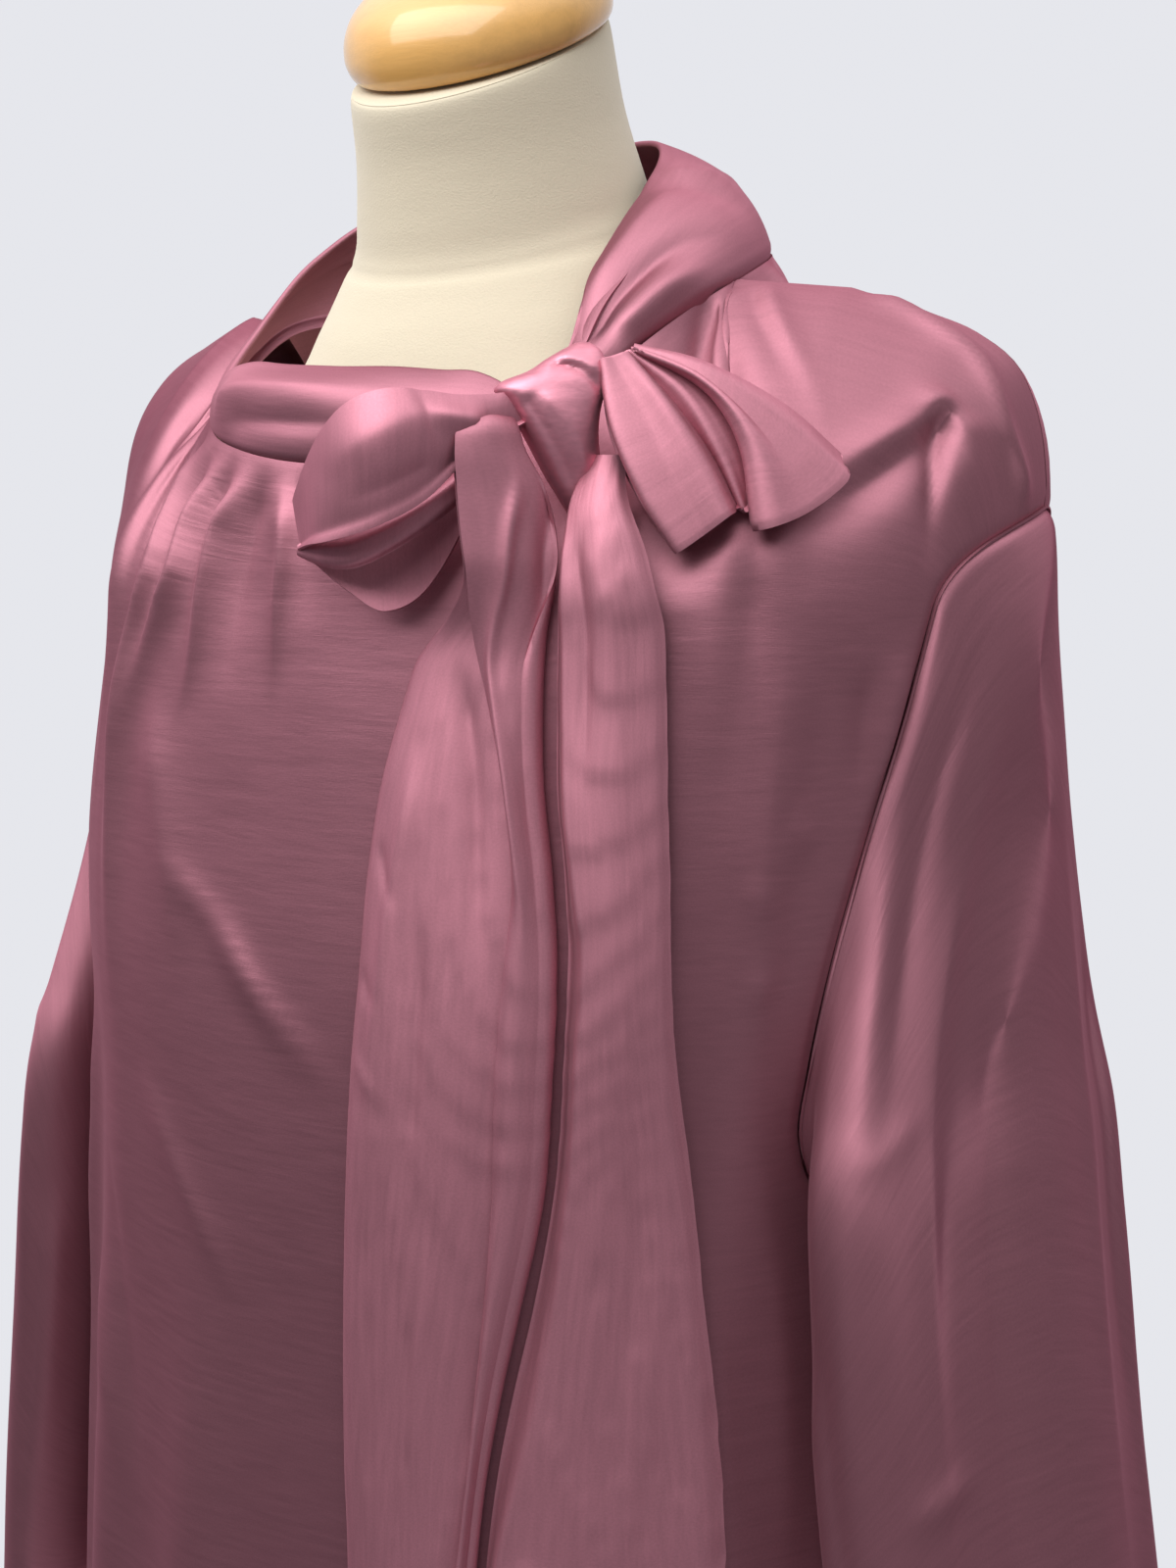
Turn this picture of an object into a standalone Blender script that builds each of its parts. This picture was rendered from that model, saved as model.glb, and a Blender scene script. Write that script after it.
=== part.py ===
"""A tie-neck blouse with a side bow, hanging open-sleeved on a limbless dress form.

Metres, +Z up. The wearer's front looks towards -Y and the wearer's left towards +X.
The origin lies on the floor under the middle of the stand's base.
Angles round the body run from the centre front towards the wearer's left.
"""

import math

import bpy
import numpy as np

# Cloth thickness and the room left between pieces
WALL = 0.0015
DOUBLE_WALL = 0.0020
SEAM_ROOM = 0.0005
SLEEVE_ROOM = 0.0008
UNDERARM_ROOM = 0.0048
BAND_ROOM = 0.0012
# Half the length across a panel, from which the room at its sides is worked out
HALF_ACROSS = 0.25
# Share of the neckline from which the shoulder seam's room opens
SEAM_START = 0.85

# Blouse lengths
HEM_HEIGHT = 0.765
CHEST_HEIGHT = 1.285
UNDERARM_HEIGHT = 1.030
CUFF_HEIGHT = 0.775
NECKLINE_SHARE = 0.52

# Rows: angle round the neck in degrees, radius, height
NECKLINE = (
    (-205, 0.109, 1.434),
    (-180, 0.106, 1.432),
    (-145, 0.110, 1.424),
    (-110, 0.120, 1.411),
    (-90, 0.124, 1.401),
    (-75, 0.1265, 1.381),
    (-58, 0.127, 1.361),
    (-30, 0.122, 1.346),
    (0, 0.116, 1.340),
    (25, 0.1145, 1.347),
    (45, 0.114, 1.360),
    (60, 0.113, 1.384),
    (75, 0.1125, 1.402),
    (90, 0.112, 1.414),
    (122, 0.113, 1.430),
    (155, 0.109, 1.434),
    (180, 0.106, 1.432),
    (215, 0.110, 1.424),
)

# How much narrower the wearer's right side is at the chest, and the height where that starts
RIGHT_NARROWER = 0.016
NARROWER_START = 1.17

# Rows: share of the shoulder seam, distance from the middle, depth, height
SHOULDER = (
    (0.30, 0.155, 0.016, 1.4100),
    (0.48, 0.182, 0.022, 1.4005),
    (0.64, 0.205, 0.026, 1.3910),
    (0.78, 0.222, 0.030, 1.3755),
    (0.89, 0.230, 0.032, 1.3530),
    (1.00, 0.2335, 0.032, 1.3230),
)

# Rows: height, half width, depth of the side, front depth, back depth, squareness
BODY = (
    (0.765, 0.207, 0.004, 0.176, 0.150, 2.10),
    (0.900, 0.201, 0.003, 0.168, 0.144, 2.10),
    (1.000, 0.196, 0.001, 0.160, 0.138, 2.10),
    (1.080, 0.194, 0.003, 0.157, 0.134, 2.20),
    (1.140, 0.202, 0.008, 0.156, 0.130, 2.30),
    (1.200, 0.210, 0.014, 0.153, 0.124, 2.30),
    (1.240, 0.215, 0.018, 0.151, 0.118, 2.30),
    (1.285, 0.220, 0.022, 0.147, 0.110, 2.30),
)

# Rows: height, angle of the front edge, angle of the back edge, both in degrees
ARMHOLE = (
    (1.030, 90.0, 90.0),
    (1.045, 79.0, 80.0),
    (1.060, 70.0, 72.0),
    (1.080, 66.0, 69.0),
    (1.110, 65.5, 68.0),
    (1.160, 66.5, 69.0),
    (1.200, 68.5, 71.0),
    (1.240, 71.0, 73.0),
    (1.285, 73.5, 76.0),
)

# How the panels leave their top edges: outwards and down at the neckline, and over the shoulder
LEAVE_NECK = (0.35, 0.94)
LEAVE_SHOULDER = (0.92, 0.30)
# Place across where the neckline's way starts to give way to the shoulder's, and how far that takes
NECK_WAY_END = 0.364
NECK_WAY_FADE = 0.25
# Drop below the chest over which the panel's direction there is taken
CHEST_STEP = 0.02

# Gathers widen by this share for each metre, rise within this length, and die out at this rate
GATHER_WIDENING = 4.4
GATHER_START = 0.010
GATHER_FADE = 1.4
# Height over which a long fold reaches its full size, and share of a panel over which folds end at its side
HANG_LENGTH = 0.30
SIDE_FADE = 0.12
# Rows: place across the panel, width, rise, length down the panel
FRONT_GATHERS = (
    (-0.500, 0.018, 0.0050, 0.10),
    (-0.445, 0.018, 0.0070, 0.28),
    (-0.385, 0.019, 0.0080, 0.40),
    (-0.325, 0.018, 0.0070, 0.16),
    (-0.265, 0.019, 0.0080, 0.24),
    (-0.205, 0.018, 0.0060, 0.12),
    (-0.140, 0.020, 0.0055, 0.20),
    (-0.070, 0.022, 0.0045, 0.10),
    (0.350, 0.020, 0.0060, 0.10),
    (0.415, 0.019, 0.0080, 0.20),
    (0.475, 0.018, 0.0070, 0.13),
    (0.560, 0.032, 0.0040, 0.18),
)
BACK_GATHERS = (
    (-0.400, 0.022, 0.0050, 0.16),
    (-0.290, 0.024, 0.0060, 0.26),
    (-0.170, 0.024, 0.0050, 0.20),
    (-0.050, 0.026, 0.0060, 0.32),
    (0.080, 0.024, 0.0050, 0.22),
    (0.200, 0.024, 0.0060, 0.28),
    (0.310, 0.022, 0.0050, 0.18),
    (0.420, 0.022, 0.0055, 0.22),
)

# Long folds that hang to the hem. Rows: place round the ring, width, rise, height where they start
FRONT_HANGS = (
    (-0.66, 0.070, 0.007, 1.22),
    (-0.42, 0.080, 0.006, 1.16),
    (-0.14, 0.080, 0.008, 1.10),
    (0.60, 0.060, 0.006, 1.25),
    (0.78, 0.040, 0.004, 1.14),
)
BACK_HANGS = (
    (-0.72, 0.060, 0.006, 1.16),
    (-0.40, 0.080, 0.009, 1.22),
    (-0.06, 0.080, 0.010, 1.26),
    (0.30, 0.080, 0.009, 1.20),
    (0.68, 0.060, 0.007, 1.14),
)

# How far a sleeve drops while it turns out of its armhole
SLEEVE_TURN = 0.020
UNDERARM_TURN = 0.0025
SLEEVE_FOLD = 0.004
SLEEVE_FOLDS = 5
SLEEVE_FOLD_START = 0.6
# Share of a sleeve's length over which its folds reach their full size
SLEEVE_FOLD_LENGTH = 0.6
SLEEVE_SQUARENESS = 2.4
# Share of half the armhole that counts as underarm, and the share over which that ends
UNDERARM_SHARE = 0.15
UNDERARM_FADE = 0.35
# Rows: height, middle, half thickness, front, back, how much the section slants outwards to the back
SLEEVE = (
    (0.775, 0.2570, 0.0270, -0.090, 0.084, 0.26),
    (0.850, 0.2480, 0.0275, -0.093, 0.083, 0.26),
    (0.940, 0.2360, 0.0275, -0.095, 0.082, 0.26),
    (1.030, 0.2265, 0.0245, -0.094, 0.083, 0.25),
    (1.075, 0.2215, 0.0235, -0.088, 0.085, 0.24),
    (1.100, 0.2180, 0.0230, -0.078, 0.085, 0.23),
    (1.140, 0.2140, 0.0230, -0.063, 0.084, 0.22),
    (1.190, 0.2095, 0.0250, -0.050, 0.081, 0.20),
    (1.250, 0.2080, 0.0300, -0.036, 0.076, 0.12),
    (1.315, 0.2085, 0.0320, 0.000, 0.064, 0.00),
)

# Angle past which the collar's rows have gone round the back to the wearer's right
BAND_HALF_WAY = 200
# Rows: angle round the neck, width across, inward lean in degrees, roundness
BAND = (
    (53, 0.036, 34, 0.007),
    (62, 0.044, 42, 0.010),
    (75, 0.052, 47, 0.012),
    (90, 0.057, 49, 0.012),
    (110, 0.061, 49, 0.011),
    (130, 0.063, 46, 0.010),
    (155, 0.061, 39, 0.008),
    (180, 0.056, 28, 0.007),
    (215, 0.049, 12, 0.006),
    (250, 0.040, 3, 0.005),
    (263, 0.029, 12, 0.004),
    (276, 0.020, 20, 0.003),
    (290, 0.014, 20, 0.003),
    (302, 0.013, 16, 0.003),
    (314, 0.022, 18, 0.006),
    (330, 0.035, 22, 0.010),
    (350, 0.040, 22, 0.011),
    (370, 0.037, 20, 0.010),
    (383, 0.030, 18, 0.008),
    (390, 0.025, 16, 0.006),
)

# The bow is laid out in a plane that faces KNOT_ANGLE: across (towards the wearer's left), up, out
KNOT_ANGLE = 41.5
KNOT_REACH = 0.1425
KNOT_HEIGHT = 1.3575
KNOT_SIDES = 20
KNOT_RIDGE = 0.07
KNOT_RIDGES = 3
KNOT_TWIST = 80.0
# Rows: height over the knot's middle, edge towards the wearer's right, other edge, half depth
KNOT = (
    (-0.0310, 0.0060, 0.0150, 0.0040),
    (-0.0275, 0.0020, 0.0172, 0.0065),
    (-0.0200, -0.0045, 0.0178, 0.0100),
    (-0.0110, -0.0095, 0.0168, 0.0140),
    (-0.0013, -0.0145, 0.0160, 0.0150),
    (0.0100, -0.0205, 0.0185, 0.0150),
    (0.0165, -0.0185, 0.0195, 0.0140),
    (0.0225, -0.0090, 0.0185, 0.0110),
    (0.0265, 0.0010, 0.0155, 0.0060),
)

# Rows: share of the loop's length, distance out, upper edge, lower edge of the front layer,
# lower edge of the back layer, lift of the front layer, lift of the back layer
LOOP_RIGHT = (
    (0.00, 0.0215, 0.0110, -0.0050, -0.0060, 0.0040, 0.0000),
    (0.14, 0.036, 0.0115, -0.0190, -0.0380, 0.0170, 0.0010),
    (0.32, 0.052, 0.0115, -0.0300, -0.0640, 0.0240, -0.0010),
    (0.52, 0.069, 0.0080, -0.0375, -0.0720, 0.0260, -0.0030),
    (0.72, 0.084, 0.0000, -0.0430, -0.0640, 0.0230, -0.0040),
    (0.88, 0.096, -0.0150, -0.0480, -0.0560, 0.0150, -0.0010),
    (1.00, 0.1025, -0.0300, -0.0500, -0.0520, 0.0070, 0.0040),
)
LOOP_WALL = 0.0016
LOOP_ROWS = 7
LOOP_RIGHT_STEPS = 9
LOOP_LEFT_STEPS = 6
LOOP_CROWN = 0.006
LOOP_TIP = 0.012
LOOP_TIP_START = 0.8
# How far the right loop bends back to the chest, and how far the left one stands out at its end
LOOP_BEND = 0.028
LOOP_RISE = 0.030
# Slant of that bend
LOOP_SKEW = 0.165
LOOP_LAYERS = 0.004
LOOP_ROOM = 0.0005
LOOP_ROOT = 0.004
# Share of the left loop's length over which it comes down onto the front
LOOP_LANDING = 0.6
# How near a point of the front counts as being under a piece
REST_RADIUS = 0.004

# Rows: share of the loop's width, root across, root up, end across, end up, lift of the end
LOOP_LEFT = (
    (0.00, 0.0185, 0.0250, 0.1090, -0.0150, 0.0060),
    (0.20, 0.0191, 0.0205, 0.1080, -0.0250, 0.0100),
    (0.42, 0.0201, 0.0160, 0.0880, -0.0385, 0.0080),
    (0.50, 0.0197, 0.0130, 0.0800, -0.0425, 0.0160),
    (0.66, 0.0189, 0.0080, 0.0720, -0.0400, 0.0120),
    (0.74, 0.0185, 0.0050, 0.0690, -0.0390, 0.0200),
    (1.00, 0.0180, -0.0080, 0.0500, -0.0505, 0.0160),
)

# Rows: height, edge towards the wearer's right, other edge, lift off the front
TAIL_RIGHT = (
    (0.800, 0.040, 0.085, 0.004),
    (0.900, 0.035, 0.086, 0.004),
    (0.960, 0.032, 0.089, 0.003),
    (1.020, 0.030, 0.100, 0.002),
    (1.070, 0.030, 0.108, 0.001),
    (1.120, 0.031, 0.111, 0.001),
    (1.160, 0.031, 0.110, 0.000),
    (1.200, 0.033, 0.104, 0.000),
    (1.235, 0.039, 0.100, 0.000),
    (1.270, 0.046, 0.099, 0.002),
    (1.305, 0.062, 0.098, 0.003),
    (1.320, 0.066, 0.094, 0.004),
    (1.332, 0.067, 0.088, 0.005),
    (1.352, 0.066, 0.0795, 0.006),
)
TAIL_LEFT = (
    (0.790, 0.093, 0.176, 0.003),
    (0.920, 0.098, 0.170, 0.003),
    (0.960, 0.106, 0.167, 0.002),
    (1.000, 0.114, 0.164, 0.002),
    (1.040, 0.118, 0.160, 0.001),
    (1.090, 0.122, 0.154, 0.000),
    (1.140, 0.124, 0.150, 0.000),
    (1.180, 0.121, 0.148, 0.000),
    (1.220, 0.114, 0.146, 0.000),
    (1.260, 0.109, 0.142, 0.001),
    (1.300, 0.105, 0.134, 0.004),
    (1.322, 0.104, 0.122, 0.006),
)

TAIL_COLUMNS = 8
TAIL_RIGHT_FOLD = 0.0025
TAIL_LEFT_FOLD = 0.0020
# Half waves across a tail, and where the first one starts
TAIL_WAVES = 2.5
TAIL_WAVE_START = 0.3
TAIL_RIGHT_HEIGHTS = (
    1.352, 1.342, 1.332, 1.32, 1.30, 1.275, 1.25, 1.22, 1.18, 1.13, 1.08, 1.02, 0.95, 0.875, 0.80
)
TAIL_LEFT_HEIGHTS = (1.322, 1.31, 1.295, 1.275, 1.25, 1.22, 1.18, 1.13, 1.08, 1.02, 0.95, 0.87, 0.79)

# Dress form. Rows: half width, front depth, back depth, height at the side, front, back
FORM = (
    (0.150, 0.092, 0.096, 0.7220, 0.7220, 0.7220),
    (0.160, 0.100, 0.106, 0.7330, 0.7330, 0.7330),
    (0.163, 0.104, 0.108, 0.8000, 0.8000, 0.8000),
    (0.150, 0.098, 0.098, 0.9000, 0.9000, 0.9000),
    (0.128, 0.094, 0.084, 1.0100, 1.0000, 1.0000),
    (0.142, 0.108, 0.088, 1.1000, 1.0900, 1.0900),
    (0.160, 0.122, 0.094, 1.1900, 1.1700, 1.1800),
    (0.174, 0.114, 0.092, 1.2700, 1.2150, 1.2400),
    (0.187, 0.104, 0.086, 1.3290, 1.2565, 1.2920),
    (0.194, 0.096, 0.080, 1.3575, 1.2865, 1.3220),
    (0.189, 0.089, 0.076, 1.3735, 1.3095, 1.3440),
    (0.167, 0.085, 0.074, 1.3793, 1.3275, 1.3590),
    (0.125, 0.084, 0.072, 1.3760, 1.3500, 1.3820),
    (0.097, 0.080, 0.070, 1.3860, 1.3720, 1.4080),
    (0.084, 0.075, 0.067, 1.4050, 1.3930, 1.4340),
    (0.073, 0.070, 0.065, 1.4270, 1.4080, 1.4520),
    (0.0640, 0.0645, 0.0640, 1.4430, 1.4200, 1.4620),
    (0.0605, 0.0620, 0.0600, 1.4560, 1.4330, 1.4760),
    (0.0560, 0.0590, 0.0560, 1.4800, 1.4580, 1.5000),
    (0.0535, 0.0570, 0.0550, 1.5066, 1.4782, 1.5335),
    (0.0515, 0.0550, 0.0530, 1.5106, 1.4826, 1.5376),
)
# The neck leans forward. Rows: height at the side, middle of the ring
FORM_MIDDLE = (
    (0.72, 0.000),
    (1.38, 0.000),
    (1.44, -0.001),
    (1.46, -0.006),
    (1.51, -0.019),
)

CAP_RADIUS = 0.0575
CAP_TILT = 27.0
CAP_MIDDLE = (0.0, -0.0165, 1.5125)
# Rows: share of the cap's radius, height over its underside
CAP_PROFILE = (
    (0.860, 0.0000),
    (0.960, 0.0020),
    (1.000, 0.0080),
    (0.985, 0.0150),
    (0.900, 0.0240),
    (0.720, 0.0320),
    (0.450, 0.0375),
    (0.180, 0.0392),
)

POLE_RADIUS = 0.0160
BASE_TOP = 0.0640
FORM_BOTTOM = 0.7220
# Rows: radius, height
BASE_PROFILE = (
    (0.186, 0.0000),
    (0.190, 0.0040),
    (0.190, 0.0150),
    (0.184, 0.0210),
    (0.120, 0.0280),
    (0.050, 0.0360),
    (0.034, 0.0480),
    (0.030, BASE_TOP),
)

# Finishes: colour, roughness, metallic
SATIN = ((0.23, 0.07, 0.10), 0.4, 0.0)
JERSEY = ((0.83, 0.76, 0.62), 0.85, 0.0)
CAP_WOOD = ((0.80, 0.47, 0.16), 0.25, 0.0)
POLE_STEEL = ((0.70, 0.71, 0.73), 0.25, 1.0)
BASE_PAINT = ((0.86, 0.86, 0.85), 0.35, 0.0)

# Mesh fineness. Rows of the panels: start across, end across, number of columns
FRONT_COLUMNS = (
    (-1.00, -0.56, 7),
    (-0.56, -0.04, 28),
    (-0.04, 0.32, 6),
    (0.32, 0.60, 12),
    (0.60, 1.00, 7),
)
BACK_COLUMNS = (
    (-1.00, -0.52, 8),
    (-0.52, 0.52, 32),
    (0.52, 1.00, 8),
)
YOKE_ROWS = 6
FRONT_HEIGHTS = (1.285, 1.25, 1.21, 1.165, 1.125, 1.10, 1.08, 1.06, 1.045, 1.03, 0.99, 0.93, 0.85, 0.765)
BACK_HEIGHTS = (1.285, 1.24, 1.19, 1.14, 1.10, 1.08, 1.06, 1.045, 1.03, 0.96, 0.87, 0.765)
SLEEVE_STEPS = (0, 0.02, 0.05, 0.10, 0.18, 0.29, 0.42, 0.57, 0.72, 0.86, 1.0)
NECK_SLOPE = 0.55
# Place across from which a panel's edge is on the shoulder seam
SHOULDER_FROM = 0.53
BAND_COLUMNS = 44
BAND_ROWS = 5
FORM_SIDES = 28
ROUND_SIDES = 24
# The dense set of points that the bow and the tails rest on: start and end across, columns, first row, rows
REST_GRID = (-0.5, 1.0, 181, 0.02, 180)


def read_rows(rows, at):
    """A smooth curve through each column of a table, read at values of its first column."""
    table = np.asarray(rows, float)
    keys, values = table[:, 0], table[:, 1:]
    slopes = np.gradient(values, keys, axis=0)
    at = np.clip(np.asarray(at, float), keys[0], keys[-1])
    low = np.clip(np.searchsorted(keys, at) - 1, 0, len(keys) - 2)
    step = keys[low + 1] - keys[low]
    part = ((at - keys[low]) / step)[..., None]
    step = step[..., None]
    rest = 1 - part
    return (
        values[low] * rest**2 * (1 + 2 * part)
        + slopes[low] * step * part * rest**2
        + values[low + 1] * part**2 * (3 - 2 * part)
        - slopes[low + 1] * step * part**2 * rest
    )


def points(x, y, z):
    return np.stack(np.broadcast_arrays(x, y, z), axis=-1)


def ease(value):
    value = np.clip(value, 0, 1)
    return value * value * (3 - 2 * value)


def neckline(angle):
    """The line where the collar is sewn on, at angles in degrees."""
    radius, height = np.moveaxis(read_rows(NECKLINE, angle), -1, 0)
    turn = np.radians(angle)
    return points(radius * np.sin(turn), -radius * np.cos(turn), height)


def narrower(side, height):
    """How far the wearer's right side is drawn in at a height."""
    share = (height - NARROWER_START) / (CHEST_HEIGHT - NARROWER_START)
    return RIGHT_NARROWER * (np.asarray(side) < 0) * ease(share)


def top_edge(across, facing):
    """Top edge of a panel: the shoulder seam, the neckline and the other shoulder seam."""
    side = np.where(across < 0, -1.0, 1.0)
    share = np.abs(across) / NECKLINE_SHARE
    angle = side * np.clip(share, 0, 1) * 90
    if facing < 0:
        angle = np.where(side < 0, -180 - angle, 180 - angle)
    neck = neckline(angle)
    corner = neckline(side * 90.0)
    along = np.clip((np.abs(across) - NECKLINE_SHARE) / (1 - NECKLINE_SHARE), 0, 1)
    out, depth, height = np.moveaxis(read_rows(SHOULDER, along), -1, 0)
    first = np.asarray(SHOULDER[0])
    start = points(side * first[1], first[2], first[3])
    near = corner + (start - corner) * (along / first[0])[..., None]
    far = points(side * out, depth, height)
    seam = np.where((along < first[0])[..., None], near, far)
    seam = np.where((share <= 1)[..., None], neck, seam)
    room = points(0.0, -facing * SEAM_ROOM * ease((share - SEAM_START) / (1 - SEAM_START)), 0.0)
    return seam + room


def body_ring(angle, height, facing):
    """A point of the body at an angle from the middle of the panel, in degrees."""
    half_width, side_depth, front, back, square = np.moveaxis(read_rows(BODY, height), -1, 0)
    depth = front if facing > 0 else back
    turn = np.radians(angle)
    power = 2 / square
    half_width = half_width - narrower(turn, height)
    x = half_width * np.sign(turn) * np.abs(np.sin(turn)) ** power
    y = side_depth - facing * depth * np.abs(np.cos(turn)) ** power
    return points(x, y, height)


def ring_angle(across, height, facing):
    """Angle of a column. The middle half keeps its own, and the rest closes up to the armhole."""
    front, back = np.moveaxis(read_rows(ARMHOLE, height), -1, 0)
    edge = np.where(height < UNDERARM_HEIGHT, 90.0, front if facing > 0 else back)
    outer = (np.abs(across) - 0.5) / 0.5
    angle = np.where(outer < 0, 90 * np.abs(across), 45 + (edge - 45) * outer)
    return np.sign(across) * angle


def body_point(across, down, facing):
    """A point of a panel. Down runs 0 to 1 over the yoke, then 1 to 2 from the chest to the hem."""
    across = across * (1 - SEAM_ROOM / HALF_ACROSS)
    lower = np.clip(down - 1, 0, 1)
    height = CHEST_HEIGHT + (HEM_HEIGHT - CHEST_HEIGHT) * lower
    drop = body_ring(ring_angle(across, height, facing), height, facing)
    level = CHEST_HEIGHT + 0 * across
    chest = body_ring(ring_angle(across, level, facing), level, facing)
    under = level - CHEST_STEP
    below = body_ring(ring_angle(across, under, facing), under, facing)
    top = top_edge(across, facing)
    yoke = np.clip(down, 0, 1)[..., None]
    length = np.linalg.norm(top - chest, axis=-1)[..., None]
    on_neck = (1 - ease((np.abs(across) - NECK_WAY_END) / NECK_WAY_FADE))[..., None]
    out_of_neck = top * (1, 1, 0)
    out_of_neck = out_of_neck / np.linalg.norm(out_of_neck, axis=-1)[..., None]
    leave_neck = LEAVE_NECK[0] * out_of_neck - (0, 0, LEAVE_NECK[1])
    leave_shoulder = points(0.0 * across, -facing * LEAVE_SHOULDER[0], -LEAVE_SHOULDER[1])
    leave = leave_neck * on_neck + leave_shoulder * (1 - on_neck)
    arrive = below - chest
    arrive = arrive / np.linalg.norm(arrive, axis=-1)[..., None]
    rest = 1 - yoke
    shoulder = (
        top * rest**2 * (1 + 2 * yoke)
        + leave * length * yoke * rest**2
        + chest * yoke**2 * (3 - 2 * yoke)
        - arrive * length * yoke**2 * rest
    )
    return np.where((down < 1)[..., None], shoulder, drop)


def gather_rise(across, below_top, gathers):
    """Gathers that start at the neckline and die out down the panel."""
    rise = 0
    for place, width, height, length in gathers:
        ridge = np.exp(-(((across - place) / (width * (1 + GATHER_WIDENING * below_top))) ** 2))
        start = 1 - np.exp(-below_top / GATHER_START)
        rise = rise + height * ridge * start * np.exp(-((below_top / length) ** GATHER_FADE))
    return rise


def hang_rise(place, height, hangs):
    """Long soft folds that deepen towards the hem."""
    rise = 0
    for middle, width, size, start in hangs:
        ridge = np.exp(-(((place - middle) / width) ** 2))
        rise = rise + size * ridge * ease((start - height) / HANG_LENGTH)
    return rise


def grid_normals(grid, closed=False):
    if closed:
        along = np.roll(grid, -1, axis=1) - np.roll(grid, 1, axis=1)
    else:
        along = np.gradient(grid, axis=1)
    down = np.gradient(grid, axis=0)
    normal = np.cross(down, along)
    return normal / np.maximum(np.linalg.norm(normal, axis=-1)[..., None], 1e-9)


def spread(parts):
    """Places of a panel's columns from its table."""
    runs = [np.linspace(start, end, count, endpoint=False) for start, end, count in parts]
    return np.concatenate([*runs, [parts[-1][1]]])


def panel_sizes(facing):
    if facing > 0:
        return spread(FRONT_COLUMNS), FRONT_HEIGHTS
    return spread(BACK_COLUMNS), BACK_HEIGHTS


def panel_grid(facing, columns, rows_down):
    """The folded middle surface of the front or the back, rows from the top edge to the hem."""
    across, down = np.meshgrid(columns, rows_down)
    flat = body_point(across, down, facing)
    top = flat[0][None, :, :]
    below_top = np.linalg.norm(flat - top, axis=-1)
    gathers, hangs = (FRONT_GATHERS, FRONT_HANGS) if facing > 0 else (BACK_GATHERS, BACK_HANGS)
    place = ring_angle(across, flat[..., 2], facing) / 90
    rise = gather_rise(across, below_top, gathers) + hang_rise(place, flat[..., 2], hangs)
    rise = rise * ease((1 - np.abs(across)) / SIDE_FADE)
    normal = grid_normals(flat) * facing
    return flat + normal * rise[..., None]


def neck_normals(edge):
    """Normals that the panels and the collar share along the neckline, so that they meet squarely."""
    outward = edge * (1, 1, 0)
    outward = outward / np.linalg.norm(outward, axis=1)[:, None] + (0, 0, NECK_SLOPE)
    return outward / math.hypot(1, NECK_SLOPE)


def panel_normals(grid, columns, facing):
    """Outward normals. The two panels share them along the shoulder, so that their edges meet squarely."""
    normal = grid_normals(grid) * facing
    along = np.gradient(grid[0], axis=0)
    shared = np.stack([-along[:, 2], 0 * along[:, 0], along[:, 0]], axis=-1)
    shared = shared / np.linalg.norm(shared, axis=1)[:, None]
    on_shoulder = np.abs(columns) > SHOULDER_FROM
    normal[0] = np.where(on_shoulder[:, None], shared, neck_normals(grid[0]))
    return normal


def panel_rows(heights):
    yoke = np.linspace(0, 1, YOKE_ROWS, endpoint=False)
    lower = (CHEST_HEIGHT - np.asarray(heights)) / (CHEST_HEIGHT - HEM_HEIGHT)
    return np.concatenate([yoke, 1 + lower])


def sleeve_section(turn, height):
    middle, half, front, back, slant = np.moveaxis(read_rows(SLEEVE, height), -1, 0)
    centre, depth = (front + back) / 2, (back - front) / 2
    power = 2 / SLEEVE_SQUARENESS
    cosine, sine = np.cos(turn), np.sin(turn)
    y = centre - depth * np.sign(sine) * np.abs(sine) ** power
    x = middle + half * np.sign(cosine) * np.abs(cosine) ** power + slant * (y - centre)
    return np.stack([x, y], axis=-1)


def panel_edge(side, facing):
    """A panel's armhole edge, shoulder to underarm: points, normals, and the way off the panel."""
    columns, heights = panel_sizes(facing)
    grid = panel_grid(facing, columns, panel_rows(heights))
    normals = panel_normals(grid, columns, facing)
    down_to_underarm = YOKE_ROWS + 1 + heights.index(UNDERARM_HEIGHT)
    rows = [0, YOKE_ROWS // 2, *range(YOKE_ROWS, down_to_underarm)]
    column, inner = (-1, -2) if side > 0 else (0, 1)
    away = grid[rows, column] - grid[rows, inner]
    return grid[rows, column], normals[rows, column], away


def share_of_length(line):
    steps = np.linalg.norm(np.diff(line, axis=0), axis=1)
    return np.concatenate([[0], np.cumsum(steps)]) / steps.sum()


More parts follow.
